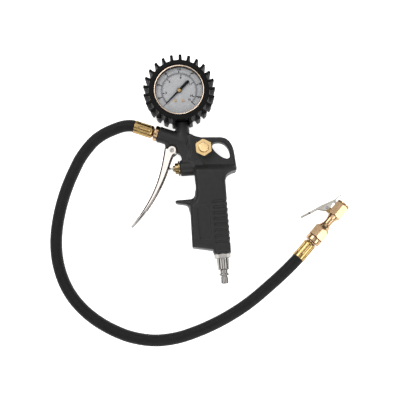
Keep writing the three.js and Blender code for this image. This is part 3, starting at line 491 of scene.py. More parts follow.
def cut(a, b, soft=0.0):
    """The first shape without the second."""
    return -join(-a, b, soft)


def ramp(value, start, end):
    """0 before the start, 1 after the end, with a smooth climb between."""
    t = np.clip((value - start) / (end - start), 0, 1)
    return t * t * (3 - 2 * t)


# ---- Hose ----


def hose_line(per_span=8):
    """The route's centripetal Catmull-Rom curve, as the CAD sweeps it."""
    points = [np.array(p, float) for p in HOSE_ROUTE]
    points = [2 * points[0] - points[1], *points, 2 * points[-1] - points[-2]]
    line = []
    for p0, p1, p2, p3 in zip(points, points[1:], points[2:], points[3:]):
        d0, d1, d2 = (math.sqrt(np.linalg.norm(b - a)) for a, b in ((p0, p1), (p1, p2), (p2, p3)))
        m1 = ((p1 - p0) / d0 - (p2 - p0) / (d0 + d1) + (p2 - p1) / d1) * d1
        m2 = ((p2 - p1) / d1 - (p3 - p1) / (d1 + d2) + (p3 - p2) / d2) * d1
        for t in np.linspace(0, 1, per_span, endpoint=False):
            line.append(
                p1 * (2 * t**3 - 3 * t * t + 1) + m1 * (t**3 - 2 * t * t + t)
                + p2 * (3 * t * t - 2 * t**3) + m2 * (t**3 - t * t)
            )
    return np.array([*line, points[-2]])


def make_hose():
    line = hose_line()
    data = bpy.data.curves.new("hose_tube", "CURVE")
    data.dimensions = "3D"
    data.bevel_depth = HOSE_R * MM
    data.bevel_resolution = 12
    data.use_fill_caps = True
    spline = data.splines.new("POLY")
    spline.points.add(len(line) - 1)
    for point, place in zip(spline.points, line):
        point.co = (*(place * MM), 1)
    spline.use_smooth = True
    data.materials.append(HOSE_RUBBER)
    hose = bpy.data.objects.new("hose_tube", data)
    bpy.context.scene.collection.objects.link(hose)
    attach(hose, "root")
    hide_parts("hose")
    return hose, float(np.sum(np.linalg.norm(np.diff(line, axis=0), axis=1))) * MM


hose_tube, hose_length = make_hose()

# ---- Gun casting ----

GRIP_THICK = 28
GRIP_BACK = 44.5
GRIP = trace([
    (13.6, -4), (12.6, -27), (12.2, -34, 5.6, -37), (5.3, -44), (4.4, -81.7), (25.6, -86), (26.6, -90.3),
    (44.2, -90.3), (GRIP_BACK, -76), (GRIP_BACK, -16), (44.8, -8, 51, -6), (51, -2), (30, 0),
])
HEAD = trace([
    (13.2, -12), (44.5, -12), (44.9, -8, 47.5, -6, 54, -5.4), (57.8, -4.8, 57.6, -2), (56.4, 14),
    (55.6, 25, 51, 32, 41.5, 32.3), (22.5, 33.6), (16, 35.5, 11.2, 38), (9.6, 36), (8.6, 31), (8.6, 25),
    (10.7, 20.2), (7.4, 12.6), (9, 8), (13, 2), (13.2, -12),
])
LOOP = trace([
    (34, 21.2), (32.6, 26.6, 37.6, 27.3), (45, 28, 50.6, 23.5, 51.6, 14), (51.8, 8.6, 48, 8.8),
    (43, 9.5, 36, 16.5, 34, 21.2),
])
WEB = trace([
    (14, 6), (1, 6), (0.6, 12.4), (1, 17.2, -3.2, 19), (-12, 30), (-4, 41), (14, 37),
])
LUG = np.array([
    (-4, 34), (-15.9, 32.5), (-15.5, 25.6), *arc(*PIVOT, 4.8, 150, 325), (0, 22),
])
SPUR = trace([
    (15, -22), (12.6, -24), (12, -30.6, 6, -31), (-7.8, -31), (-11.3, -32.4, -7.8, -34.4),
    (1, -36.2), (4.8, -37.6, 5.3, -43), (15, -43),
])
PANEL = trace([
    (16, -74.5), (22.5, -74.5), (25.5, -74.5, 25.5, -71.5), (25.5, -43), (25.5, -40, 22.5, -40),
    (16, -40), (13, -40, 13, -43), (13, -71.5), (13, -74.5, 16, -74.5),
])
RIBS = [-36 - 6.06 * i for i in range(8)]
SHOULDER_TILT = 0.08
NOSE_WAY = (math.cos(math.radians(NOSE_TURN)), math.sin(math.radians(NOSE_TURN)), 0)


def cast_gun():
    f = Field((-26, -91, 0), (58.2, 52, 28), 0.5)
    swell = 1 - ramp(f.y + SHOULDER_TILT * f.x, -1.6, 7.7)
    outline = join(f.flat(GRIP), cut(f.flat(HEAD), f.flat(LOOP)), 1.5)
    body = rounded(outline, np.abs(f.z - MID_Z) - 7.6 - 6.4 * swell, 2.2 + 2 * swell)
    boss = f.rod((*BLEED, 0), (0, 0, 1), 8, 10, 25, 0.6)
    body = join(body, boss, 0.6)
    groove = sum(1 - ramp(np.abs(f.y - y), 1.2, 1.7) for y in RIBS)
    depth = 0.45 + 0.65 * ramp(np.abs(f.z - MID_Z), 9, 12.5)
    body = body + depth * groove * ramp(f.x, 28.8, 30.2)
    body = join(body, f.slab(f.flat(WEB), MID_Z - 6.4, MID_Z + 6.4, 1.5), 2)
    body = join(body, f.slab(f.flat(LUG), MID_Z - 5, MID_Z + 5, 0.8), 0.8)
    body = join(body, f.slab(f.flat(SPUR), MID_Z - 9, MID_Z + 9, 3.2), 3.5)
    valve = f.rod((0, VALVE_Y, MID_Z), (1, 0, 0), 8.6, -1.7, 24, 2)
    body = join(body, valve, 1)
    nose = f.rod((*NOSE, MID_Z), NOSE_WAY, 8.3, -31.5, 0, 0.7)
    nose = join(nose, f.rod((*NOSE, MID_Z), NOSE_WAY, 8.6, -2.2, -0.2, 0.6), 0.5)
    body = join(body, nose, 1)
    body = join(body, f.rod((GAUGE[0], 0, MID_Z), (0, 1, 0), 7.35, 28, 51.5, 0.7), 2.2)
    for low, high in ((GRIP_THICK - 0.8, GRIP_THICK + 4), (-4, 0.8)):
        body = cut(body, f.slab(f.flat(PANEL), low, high, 0), 0.5)
    for low, high in ((MID_Z + 5.3, 26), (2, MID_Z - 5.3)):
        body = cut(body, f.rod((*PIVOT, 0), (0, 0, 1), 6.3, low, high), 0.4)
    bores = [
        ((0, VALVE_Y, MID_Z), (1, 0, 0), 6.3, -4, 28), ((0, VALVE_Y, MID_Z), (1, 0, 0), 3, 26, 35.3),
        ((INLET[0], -90.3, MID_Z), (0, 1, 0), 6.7, -4, 14), ((INLET[0], -90.3, MID_Z), (0, 1, 0), 4, 0, 93.4),
        ((*NOSE, MID_Z), NOSE_WAY, 6.5, -13, 4), ((*NOSE, MID_Z), NOSE_WAY, 2, -27, 0),
        ((GAUGE[0], 38.5, MID_Z), (0, 1, 0), 5.2, 0, 15), ((GAUGE[0], 24, MID_Z), (0, 1, 0), 2, 0, 27),
        ((8.6, VALVE_Y, MID_Z), (0, 1, 0), 2, 0, 22), ((2.8, 24, MID_Z), (1, 0, 0), 2, 0, 21.7),
        ((*BLEED, 0), (0, 0, 1), 6.7, 7, 29), ((*PIVOT, 0), (0, 0, 1), 2.2, 0, 28),
    ]
    for origin, way, radius, low, high in bores:
        body = cut(body, f.rod(origin, way, radius, low, high))
    show("gun_casting", *f.surface(body), PAINT, ["gun_body"], "body_paint", sharp=50)


cast_gun()

# ---- Trigger ----

LEVER = np.vstack([
    trace([
        (-16, 25.3), (-21.4, 4, -26, -22, -57.6, -54.6), (-56.6, -55.6),
        (-35, -38, -19, -12, -11.6, 8.6), (-9.6, 13.5, -7.6, 16.72),
    ], 28),
    arc(*PIVOT, 5.5, -78, 148),
])
LEVER_HOLLOW = trace([
    (-14.5, 30), (-14.5, 25.3), (-19.9, 4, -24, -18, -41, -37.5), (-37, -43), (10, -30), (10, 30),
], 28)
LEVER_TIP = (-57.1, -55.1)
LEVER_HALF = 7
LEVER_SHEET = 1.5
LEVER_EDGE = 1.4
LEVER_EDGE_DROP = 1.08


def inset(points, depth):
    """The outline moved inwards, by less towards the lever's tip."""
    ahead, behind = np.roll(points, -1, axis=0), np.roll(points, 1, axis=0)
    along = ahead - behind
    turned_left = np.stack([-along[:, 1], along[:, 0]], axis=1)
    area = np.sum(points[:, 0] * ahead[:, 1] - ahead[:, 0] * points[:, 1])
    inwards = turned_left / np.linalg.norm(turned_left, axis=1)[:, None] * np.sign(area)
    near = np.clip(0.4 + 0.03 * np.linalg.norm(points - LEVER_TIP, axis=1), 0.4, 1)
    return points + inwards * (depth * near)[:, None]


def prism(rings):
    """A closed solid between level rings of points, one above another."""
    count = len(rings[0][0])
    verts = [(x, y, z) for points, z in rings for x, y in points]
    faces = [[i for i in range(count)][::-1], [len(verts) - count + i for i in range(count)]]
    for k in range(len(rings) - 1):
        for i in range(count):
            j = (i + 1) % count
            faces.append([k * count + i, k * count + j, (k + 1) * count + j, (k + 1) * count + i])
    return solid(verts, faces)


def solid(verts, faces):
    """An object of one closed mesh, to be carved."""
    mesh = bpy.data.meshes.new("blank")
    mesh.from_pydata([tuple(map(float, v)) for v in verts], [], faces)
    shape = bmesh.new()
    shape.from_mesh(mesh)
    bmesh.ops.recalc_face_normals(shape, faces=shape.faces)
    shape.to_mesh(mesh)
    shape.free()
    blank = bpy.data.objects.new("blank", mesh)
    bpy.context.scene.collection.objects.link(blank)
    return blank


def carved(blank, tools):
    """Vertices and faces of the blank without the tools."""
    for tool in tools:
        cutter = blank.modifiers.new("cut", "BOOLEAN")
        cutter.operation, cutter.solver, cutter.object = "DIFFERENCE", "EXACT", tool
    bpy.context.view_layer.update()
    mesh = bpy.data.meshes.new_from_object(blank.evaluated_get(bpy.context.evaluated_depsgraph_get()))
    for piece in (blank, *tools):
        bpy.data.objects.remove(piece)
    return np.array([v.co[:] for v in mesh.vertices]), [list(p.vertices) for p in mesh.polygons]


def fold_lever():
    outer, inner = LEVER, inset(LEVER, LEVER_EDGE)
    low, high = MID_Z - LEVER_HALF, MID_Z + LEVER_HALF
    blank = prism([
        (inner, low), (outer, low + LEVER_EDGE_DROP), (outer, high - LEVER_EDGE_DROP), (inner, high),
    ])
    room = prism([(LEVER_HOLLOW, low + LEVER_SHEET), (LEVER_HOLLOW, high - LEVER_SHEET)])
    pin_hole = arc(*PIVOT, 2.3, 0, 355, 72)
    pin_room = prism([(pin_hole, low - 1), (pin_hole, high + 1)])
    show(
        "trigger_pressing", *carved(blank, [room, pin_room]), CHROME, ["trigger_lever"], "trigger_chrome",
        "trigger", sharp=25,
    )


fold_lever()
PIVOT_SPOT = spot(*PIVOT, MID_Z)
RIVET = [
    (-8.6, 0), (-8.6, 1.9), (7.3, 1.9), (7.3, 2.6), (8.1, 2.4), (8.1, 1.15), (7.1, 1.05), (7.1, 0.5),
    (7.5, 0.3), (7.5, 0),
]
show("trigger_rivet", *turned(RIVET, 48, 0.12), STEEL, ["trigger_pin"], "steel", matrix=PIVOT_SPOT)
WASHER = [(-8.1, 2.2), (-8.1, 3.2), (-7.3, 3.2), (-7.3, 2.2)]
show("rivet_washer", *turned(WASHER, 48, 0.12), STEEL, ["trigger_pin_washer"], "steel", matrix=PIVOT_SPOT)

# ---- Valve and bleed button ----

VALVE_SPOT = spot(0, VALVE_Y, MID_Z) @ ALONG_X
BONNET = [
    (-9.2, 1.8), (-9.2, 3.1), (-7.1, 3.1), (-7, 5.6), (-3.6, 5.8), (-3.5, 7.7), (-2, 7.9),
    (-2, 6), (6, 6), (6, 4.2), (3, 4.2), (3, 1.8),
]
show("bonnet", *turned(BONNET, 96, 0.25), DULL_BRASS, ["valve_bonnet"], "brass", matrix=VALVE_SPOT)


def wind(name, node, radius, wire, low, high, turns, matrix, joint, travel, axis, anchor):
    """A compression spring wound between low and high; joint, travel, axis and anchor are not used."""
    steps, sides = turns * 36, 10
    turn = np.linspace(0, 2 * math.pi * turns, steps + 1)
    height = np.linspace(low + wire, high - wire, steps + 1)
    round_wire = np.linspace(0, 2 * math.pi, sides, endpoint=False)
    out = radius + wire * np.cos(round_wire)[None, :]
    rise = height[:, None] + wire * np.sin(round_wire)[None, :]
    x, y = out * np.cos(turn)[:, None], out * np.sin(turn)[:, None]
    verts = np.stack([x, y, rise], axis=2).reshape(-1, 3)
    faces = [list(range(sides))[::-1], [steps * sides + i for i in range(sides)]]
    for k in range(steps):
        for i in range(sides):
            j = (i + 1) % sides
            faces.append([k * sides + i, k * sides + j, (k + 1) * sides + j, (k + 1) * sides + i])
    spring = show(name, verts, faces, SPRING_WIRE, [node], "steel", matrix=matrix)
    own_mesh(spring)


POPPET_SPRING = (18.4, 27.7)
wind(
    "poppet_spring", "valve_spring", 3.7, 0.45, *POPPET_SPRING, 5, VALVE_SPOT, "valve_stem_slide", 2.9,
    (1, 0, 0), (POPPET_SPRING[1] * MM, VALVE_Y * MM, MID_Z * MM),
)
STEM = [(-19.6, 0), (-19.6, 0.7), (-19, 1.5), (15.8, 1.5), (15.8, 0)]
show("stem", *turned(STEM, 48, 0.3), STEEL, ["valve_stem"], "steel", "valve_stem", VALVE_SPOT)

BLEED_SPOT = spot(*BLEED)
NUT = [
    (13.5, 5.4), (13.5, 6.4), (25.4, 6.4), (25.4, 8), (26.1, BIG_CORNER), (30.1, BIG_CORNER), (30.6, 8.7),
    (30.6, 5.3), (30.4, 5.2), (29, 5.2), (28.6, 5.4),
]
show(
    "bleed_hexagon", *turned(NUT, 96, 0.12, hexed(BIG_HEX), 0.25), NUT_BRASS, ["bleed_nut"], "brass",
    matrix=BLEED_SPOT, sharp=24,
)
BUTTON = [(12.9, 0), (12.9, 1.5), (26.4, 1.5), (26.4, 5.1), (33.6, 5.1), (34, 4.6), (34, 0)]
# The knob wears the brass with painted light.
show(
    "bleed_knob", *turned(BUTTON, 96, 0.12), BRASS_PAINTED_LIGHT, ["bleed_button"], "brass", "bleed_button",
    BLEED_SPOT,
)
BUTTON_SPRING = (19.3, 26.1)
wind(
    "button_spring", "bleed_spring", 4, 0.45, *BUTTON_SPRING, 4, BLEED_SPOT, "bleed_button_slide", 1.8,
    (0, 0, 1), (BLEED[0] * MM, BLEED[1] * MM, BUTTON_SPRING[0] * MM),
)

# ---- Air plug ----

PLUG_SPOT = spot(*INLET, MID_Z, -90) @ ALONG_X
PLUG_TURNED = [
    (-12, 2.8), (-12, 6), (-11, 6.4), (0.1, 6.4), (0.1, 7.3), (0.3, 7.5), (0.9, 8.66), (4, 8.66), (4.6, 7.6),
    (4.75, 6.3), (5.3, 6.2), (16, 6.2), (17, 4.1), (20.4, 3.9), (21, 5.3), (22.4, 5.3), (22.7, 3.3),
    (24, 3.3), (24.2, 4.05), (30.3, 4.05), (31.2, 3.2), (31.2, 2.8),
]


def plug_section(height, radius, angles):
    return hexed(15)(height, radius, angles) if 0 < height < 5 else np.full(len(angles), radius)


show(
    "plug_nipple", *turned(PLUG_TURNED, 96, 0.12, plug_section, 0.3), NICKEL, ["air_plug"], "plug_steel",
    matrix=PLUG_SPOT, sharp=24,
)

# ---- Gauge: boot and shell ----

GAUGE_SPOT = spot(*GAUGE)
DIAL_SPOT = spot(*GAUGE, 0, DIAL_TURN)
BOOT_INNER = 27.1
BOOT_WALL = 31.9
BOOT_TIP = 37.9
BOOT_TOP = 33.6
LUGS = 25
BOOT_TURN = 1.2


def mould_boot():
    f = Field((-38, -38, 0), (38, 38, BOOT_TOP), 0.5)
    far = np.hypot(f.x, f.y)
    wall = rounded(far - BOOT_WALL, np.abs(f.z - BOOT_TOP / 2) - BOOT_TOP / 2, 1.3)
    low, high = 1.2, BOOT_TOP - 1.0
    depth = np.clip((high - f.z) / (high - low), 0, 1)
    pitch = 2 * math.pi / LUGS
    turn = np.arctan2(f.y, f.x) + math.pi / 2 - math.radians(BOOT_TURN)
    nearest = np.round(turn / pitch)
    folded = turn - nearest * pitch
    out, side = far * np.cos(folded), far * np.sin(folded)
    half = 1.35 + 0.25 * ramp(out, BOOT_WALL + 2, BOOT_TIP) + 0.7 * depth
    tip = BOOT_TIP - 1.3 * depth
    lug = rounded(np.abs(side) - half, np.abs(out - 30) - (tip - 30), 0.7)
    lug = rounded(lug, np.abs(f.z - (low + high) / 2) - (high - low) / 2, 0.5)
    lug = np.where(nearest % LUGS == 0, 9.0, lug)
    boot = join(wall, lug, 0.9)
    boot = cut(boot, f.rod((0, 0, 0), (0, 0, 1), BOOT_INNER, 2.2, 40, 0.4), 0.3)
    boot = cut(boot, f.rod((0, 0, 0), (0, 0, 1), 17, -5, 40, 0), 0.3)
    gap = rounded(np.abs(f.x) - 8.2, np.abs(f.z - MID_Z) - 8.4, 1.5)
    boot = cut(boot, np.maximum(gap, np.abs(f.y + 31) - 9), 0.3)
    show(
        "rubber_boot", *f.surface(boot), BOOT_RUBBER, ["gauge_boot"], "boot_rubber",
        matrix=GAUGE_SPOT, sharp=50,
    )


mould_boot()
SHELL = [
    (2.6, 0), (2.6, 8), (3.0, 8.6), (3.0, 13), (2.6, 13.6), (2.6, 25.4), (3.2, 26), (29, 26), (29, 25.2),
    (3.4, 25.2), (3.4, 0),
]
show(
    "gauge_pressed_case", *turned(SHELL, 128, 0.25), DARK_METAL, ["gauge_case"], "case_black",
    matrix=GAUGE_SPOT,
)
BEZEL = [
    (26, 26.2), (26, 26.75), (32.3, 26.75), (33, 26.1), (33, 25.5), (32.6, 25.2), (31.8, 25.1), (31.8, 26.2),
]
show("gold_bezel", *turned(BEZEL, 160, 0.25), GOLD, ["gauge_bezel"], "bezel_gold", matrix=GAUGE_SPOT)
LENS = [(30.3, 0), (30.3, 25.8), (31.5, 25.8), (31.6, 0)]
show("lens", *turned(LENS, 128, 0.1), GLASS, ["gauge_lens"], "lens", matrix=GAUGE_SPOT)

# ---- Gauge: dial ----

DIAL_TOP = 27.0
ZERO = 225
SWEEP = 269
PSI_FULL = 220
BAR_STEP = 17.8
SCREW_OUT = 4.1
SCREW_DOWN = -10.8


def disc_with_holes():
    f = Field((-24.9, -24.9, 26.4), (24.9, 24.9, DIAL_TOP), 0.3)
    disc = f.rod((0, 0, 0), (0, 0, 1), 24.9, 26.4, DIAL_TOP, 0.1)
    for x, y, radius in ((0, 0, 1.8), (-SCREW_OUT, SCREW_DOWN, 1), (SCREW_OUT, SCREW_DOWN, 1)):
        disc = cut(disc, f.rod((x, y, 0), (0, 0, 1), radius, 20, 30))
    show("dial_plate", *f.surface(disc), SILVER, ["gauge_dial"], "dial_face", matrix=DIAL_SPOT, sharp=50)


class Print:
    """Ink on the dial, as thin raised solids in one mesh."""

    def __init__(self, low, high):
        self.low, self.high = low, high
        self.verts, self.faces = [], []

    def prism(self, outline):
        start, count = len(self.verts), len(outline)
        for z in (self.low, self.high):
            self.verts += [(x, y, z) for x, y in outline]
        self.faces.append([start + i for i in range(count)][::-1])
        self.faces.append([start + count + i for i in range(count)])
        for i in range(count):
            j = (i + 1) % count
            self.faces.append([start + i, start + j, start + count + j, start + count + i])

    def tick(self, degrees, inner, outer, width):
        angle = math.radians(ZERO - degrees)
        way = np.array([math.cos(angle), math.sin(angle)])
        side = np.array([-math.sin(angle), math.cos(angle)]) * width / 2
        self.prism([way * inner - side, way * outer - side, way * outer + side, way * inner + side])

    def band(self, start, end, inner, outer, count=120):
        angles = np.radians(ZERO - np.linspace(start, end, count + 1))
        for a, b in zip(angles, angles[1:]):
            corners = ((inner, a), (inner, b), (outer, b), (outer, a))
            self.prism([(r * math.cos(t), r * math.sin(t)) for r, t in corners])

    def number(self, text, degrees, radius, size):
        data = bpy.data.curves.new("numeral", "FONT")
        data.body = text
        data.size = size
        data.align_x, data.align_y = "CENTER", "CENTER"
        data.extrude = (self.high - self.low) / 2
        data.offset = 0.04 * size
        data.resolution_u = 4
        letter = bpy.data.objects.new("numeral", data)
        bpy.context.scene.collection.objects.link(letter)
        bpy.context.view_layer.update()
        mesh = bpy.data.meshes.new_from_object(letter.evaluated_get(bpy.context.evaluated_depsgraph_get()))
        angle = math.radians(ZERO - degrees)
        x, y = radius * math.cos(angle), radius * math.sin(angle)
        place = Matrix.Translation((x, y, (self.low + self.high) / 2))
        start = len(self.verts)
        self.verts += [tuple(place @ v.co) for v in mesh.vertices]
        self.faces += [[start + i for i in p.vertices] for p in mesh.polygons]
        bpy.data.objects.remove(letter)

    def show(self, name, material, slot):
        show(name, self.verts, self.faces, material, slot=slot, matrix=DIAL_SPOT, sharp=20)


def print_dial():
    band = Print(DIAL_TOP + 0.01, DIAL_TOP + 0.03)
    band.band(0, SWEEP, 17.3, 19.2)
    band.show("dial_grey_band", PRINT_GREY, "dial_face")
    ink = Print(DIAL_TOP + 0.04, DIAL_TOP + 0.08)
    per_psi = SWEEP / PSI_FULL
    for psi in range(0, PSI_FULL + 1, 5):
        long = psi % 10 == 0
        ink.tick(psi * per_psi, 19.2, 20.4 if long else 19.9, 0.22)
    for psi in (20, 50, 80, 110, 140, 170, 200):
        ink.tick(psi * per_psi, 18.8, 20.9, 0.9)
        ink.number(str(psi), psi * per_psi, 22.6, 3)
    ink.tick(0, 19.0, 23.8, 0.5)
    ink.tick(SWEEP, 17.3, 22.6, 0.9)
    for tenth in range(0, 151, 5):
        whole = tenth % 10 == 0
        ink.tick(tenth / 10 * BAR_STEP, 16.3 if whole else 16.7, 17.3, 0.3 if whole else 0.16)
    for bar in (2, 5, 8, 11, 14):
        ink.tick(bar * BAR_STEP, 15.7, 17.5, 0.9)
        ink.number(str(bar), bar * BAR_STEP, 13.9, 3.2)
    ink.number("15", 15 * BAR_STEP + 1, 14.4, 2.9)
    ink.show("dial_scale", PRINT, "needle_black")


disc_with_holes()
print_dial()
NEEDLE_SPOT = spot(*GAUGE, 0, DIAL_TURN + ZERO)


def cut_needle():
    f = Field((-14.7, -2.8, 28.4), (19.6, 2.8, 28.9), 0.14)
    blade_half = 1.0 - 0.5 * np.clip((f.x - 2) / 17.5, 0, 1)
    blade = rounded(np.abs(f.y) - blade_half, np.abs(f.x - 9.75) - 9.75, 0.1)
    tail = rounded(np.abs(f.y) - 1.5, np.abs(f.x + 8) - 6.6, 1.45)
    flat = join(join(blade, tail, 0.3), np.hypot(f.x, f.y) - 2.67, 0.5)
    needle = rounded(flat, np.abs(f.z - 28.65) - 0.25, 0.1)
    needle = cut(needle, np.hypot(f.x, f.y) - 0.9)
    show("pointer", *f.surface(needle), NEEDLE, ["gauge_needle"], "needle_black", "needle", NEEDLE_SPOT, 50)


cut_needle()
HUB = [(29.2, 0), (29.2, 2.1), (29.7, 2.1), (30.0, 1.7), (30.0, 0.5), (29.85, 0.3), (29.85, 0)]
show("pointer_hub", *turned(HUB, 64, 0.12), BRASS_PLAIN, ["needle_hub"], "brass", "needle", GAUGE_SPOT)


def slotted(side):
    """One of the dial's two slotted screws."""
    name = "left" if side < 0 else "right"
    f = Field((-1.4, -1.4, 23), (1.4, 1.4, 27.9), 0.09)
    shank = f.rod((0, 0, 0), (0, 0, 1), 0.7, 23, 27.5)
    screw = join(shank, f.rod((0, 0, 0), (0, 0, 1), 1.35, 27.3, 27.9, 0.22))
    turn = math.radians(25 * side)
    slot = np.abs(f.x * math.cos(turn) + f.y * math.sin(turn)) - 0.16
    screw = cut(screw, np.maximum(slot, 27.65 - f.z))
    place = DIAL_SPOT @ spot(SCREW_OUT * side, SCREW_DOWN)
    material = BRASS_PLAIN if side < 0 else COPPER
    show(
        f"dial_screw_head_{name}", *f.surface(screw), material, [f"dial_screw_{name}"], "brass",
        matrix=place, sharp=50,
    )


slotted(-1)
slotted(1)


def stop_pin():
    """The pin that the pointer rests against at zero."""
    profile = [(26.9, 0), (26.9, 0.55), (28.0, 0.55), (28.2, 0.35), (28.2, 0)]
    angle = math.radians(ZERO + 3.4)
    place = DIAL_SPOT @ spot(18.6 * math.cos(angle), 18.6 * math.sin(angle))
    show("zero_stop", *turned(profile, 32, 0.1), COPPER, slot="brass", matrix=place)


stop_pin()

# ---- Hose ends ----

NEAR_SPOT = spot(*NOSE, MID_Z, NOSE_TURN) @ ALONG_X
FAR_SPOT = spot(*CHUCK, CHUCK_TURN) @ ALONG_X
FERRULE_LONG = 19.4


def flutes(height, radius, angles):
    """Eight grooves with rounded ends between two plain collars."""
    if radius < 4:
        return np.full(len(angles), radius)
    start, end, reach = 3.1, FERRULE_LONG - 3.1, 1.6
    middle = min(max(height, start + reach), end - reach)
    fade = math.sqrt(max(0.0, 1 - ((height - middle) / reach) ** 2))
    pitch = 2 * math.pi / 8
    folded = (angles + pitch / 2) % pitch - pitch / 2
    across = np.abs(folded) * radius / 1.75
    dip = 0.95 * fade * np.sqrt(np.maximum(0, 1 - across**2))
    return radius - dip


FERRULE = [
    (0, 3.5), (0, 5.2), (1.2, 6.3), (2.4, 6.75), (2.9, 6.75), (FERRULE_LONG - 2.6, 6.75),
    (FERRULE_LONG + 1.2, 6.8), (FERRULE_LONG + 1.5, 6.55), (FERRULE_LONG, 6.5), (FERRULE_LONG, 3.5),
]
ferrule_shape = turned(FERRULE, 160, 0.3, flutes, 0.3)
gun_ferrule = show(
    "fluted_ferrule_gun", *ferrule_shape, BRASS_PLAIN, ["ferrule_gun"], "brass",
    matrix=NEAR_SPOT @ Matrix.Translation((0, 0, 6 * MM)), sharp=40,
)
FERRULE_END = FAR_SPOT @ Matrix.Translation((0, 0, (FERRULE_LONG + 0.9) * MM))
chuck_ferrule = show(
    "fluted_ferrule_chuck", *ferrule_shape, BRASS_PLAIN, ["ferrule_chuck"], "brass",
    matrix=FERRULE_END @ Matrix.Rotation(math.pi, 4, "X"), sharp=40,
)
NEAR_FITTING = [
    (-11, 2), (-11, 6.1), (0.3, 6.2), (0.3, 7.6), (0.8, 8.1), (4.2, 8.1), (4.7, 7.6), (4.7, 4.6),
    (5.9, 4.2), (5.9, 3.2), (24, 3.2), (24, 2),
]
gun_fitting = show(
    "swivel_collar_gun", *turned(NEAR_FITTING, 96, 0.25), BRASS, ["hose_fitting_gun"], "brass",
    matrix=NEAR_SPOT,
)
FAR_FITTING = [
    (1.5, 2), (1.5, 3.2), (20.4, 3.2), (20.4, 3.8), (21.4, 3.8), (21.5, 7.6), (22.2, 8.15), (26.6, 8.15),
    (27.3, 7.6), (27.3, 4.8), (36, 4.7), (36, 2),
]
chuck_fitting = show(
    "swivel_collar_chuck", *turned(FAR_FITTING, 96, 0.3), BRASS, ["hose_fitting_chuck"], "brass",
    matrix=FAR_SPOT,
)

# ---- Chuck ----


def chuck_section(height, radius, angles):
    """The outside of the chuck: a hexagon at each end of a round waist."""
    if radius < 5.2 and not 41 < height < 57:
        return np.full(len(angles), radius)
    if height < 40:
        return hexed(BIG_HEX, 30)(height, radius, angles)
    if height > 57.5:
        return hexed(SMALL_HEX, 30)(height, radius, angles)
    return np.full(len(angles), radius)


CHUCK_PROFILE = [
    (27.6, 5), (27.6, 8), (28.1, BIG_CORNER), (37.8, BIG_CORNER), (39.4, 7.7), (40.6, 6.9), (42.5, 5.6),
    (46, 4.2), (50, 4), (53.5, 4.5), (56.4, 5.8), (57.6, 6.5), (58.4, SMALL_CORNER), (71.8, SMALL_CORNER),
    (72.4, 6.9), (72.4, 5), (64, 5), (64, 1.8), (37, 1.8), (37, 5),
]
chuck_hexagons = show(
    "chuck_hexagons", *turned(CHUCK_PROFILE, 144, 0.25, chuck_section, 0.3), BRASS, ["chuck_body"], "brass",
    matrix=FAR_SPOT, sharp=26,
)
CHUCK_FLAT = spot(*CHUCK, CHUCK_TURN)
CLIP_PIVOT = (59.3, 10.8)


def mill_ear():
    f = Field((55.8, 4.5, -1.5), (62.2, 12.8, 1.5), 0.2)
    ear = rounded(np.hypot(f.x - CLIP_PIVOT[0], f.y - 10.0) - 2.7, np.abs(f.z) - 1.5, 0.25)
    stalk = rounded(np.abs(f.x - 59.1) - 3.0, np.abs(f.y - 7.4) - 2.6, 0.2)
    ear = join(ear, rounded(stalk, np.abs(f.z) - 1.5, 0.25), 0.5)
    ear = cut(ear, np.hypot(f.x - CLIP_PIVOT[0], f.y - CLIP_PIVOT[1]) - 1.1 + 0 * f.z)
    return show("clip_ear", *f.surface(ear), BRASS_PLAIN, slot="brass", matrix=CHUCK_FLAT, sharp=50)


clip_ear = mill_ear()
CAP = [
    (72.7, 4), (72.7, 6.6), (72.9, 6.8), (73.2, 7.1), (74, 7.1), (74.5, 6.6), (74.5, 4),
]
chuck_collar = show("chuck_collar", *turned(CAP, 96, 0.2), BRASS, ["chuck_cap"], "brass", matrix=FAR_SPOT)
SEAL_RING = [(64.4, 2), (64.4, 4.6), (66.8, 4.6), (66.8, 2)]
chuck_washer = show(
    "chuck_washer", *turned(SEAL_RING, 64, 0.4), SEAL, ["chuck_seal"], "seal_rubber", matrix=FAR_SPOT,
)
DEPRESSOR = [(60, 0), (60, 1.4), (64.4, 1.4), (64.4, 0.9), (69, 0.9), (69.4, 0.5), (69.4, 0)]
depressor = show(
    "chuck_depressor", *turned(DEPRESSOR, 40, 0.15), BRASS, ["depressor_pin"], "brass", matrix=FAR_SPOT,
)

CLIP_SIDE = np.array([
    (33.7, 24.8), (42.2, 21.2), (57.2, 15.4), (72.2, 8.8), (74.2, 9.2), (79.2, 7.8), (79.4, 8.6),
    (74.6, 10.1), (72.6, 9.9), (57.6, 17), (42.6, 22.8), (34.1, 26.2),
])
CLIP_RIM = np.array([
    (34.1, 26.2), (33.4, 24.1), (42, 20.5), (57.4, 14.5), (57.6, 17), (42.6, 22.8),
])
CLIP_CHEEK = np.array([
    (50, 18.8), (56.4, 9.6), (58.4, 8.4), (61.4, 8.6), (66.5, 9.4), (72, 8.8), (72.4, 9.6), (57.6, 16.8),
])
CLIP_TOOTH = np.array([(68.6, 4.4), (70.6, 4.4), (71, 10.2), (68.6, 11.2)])


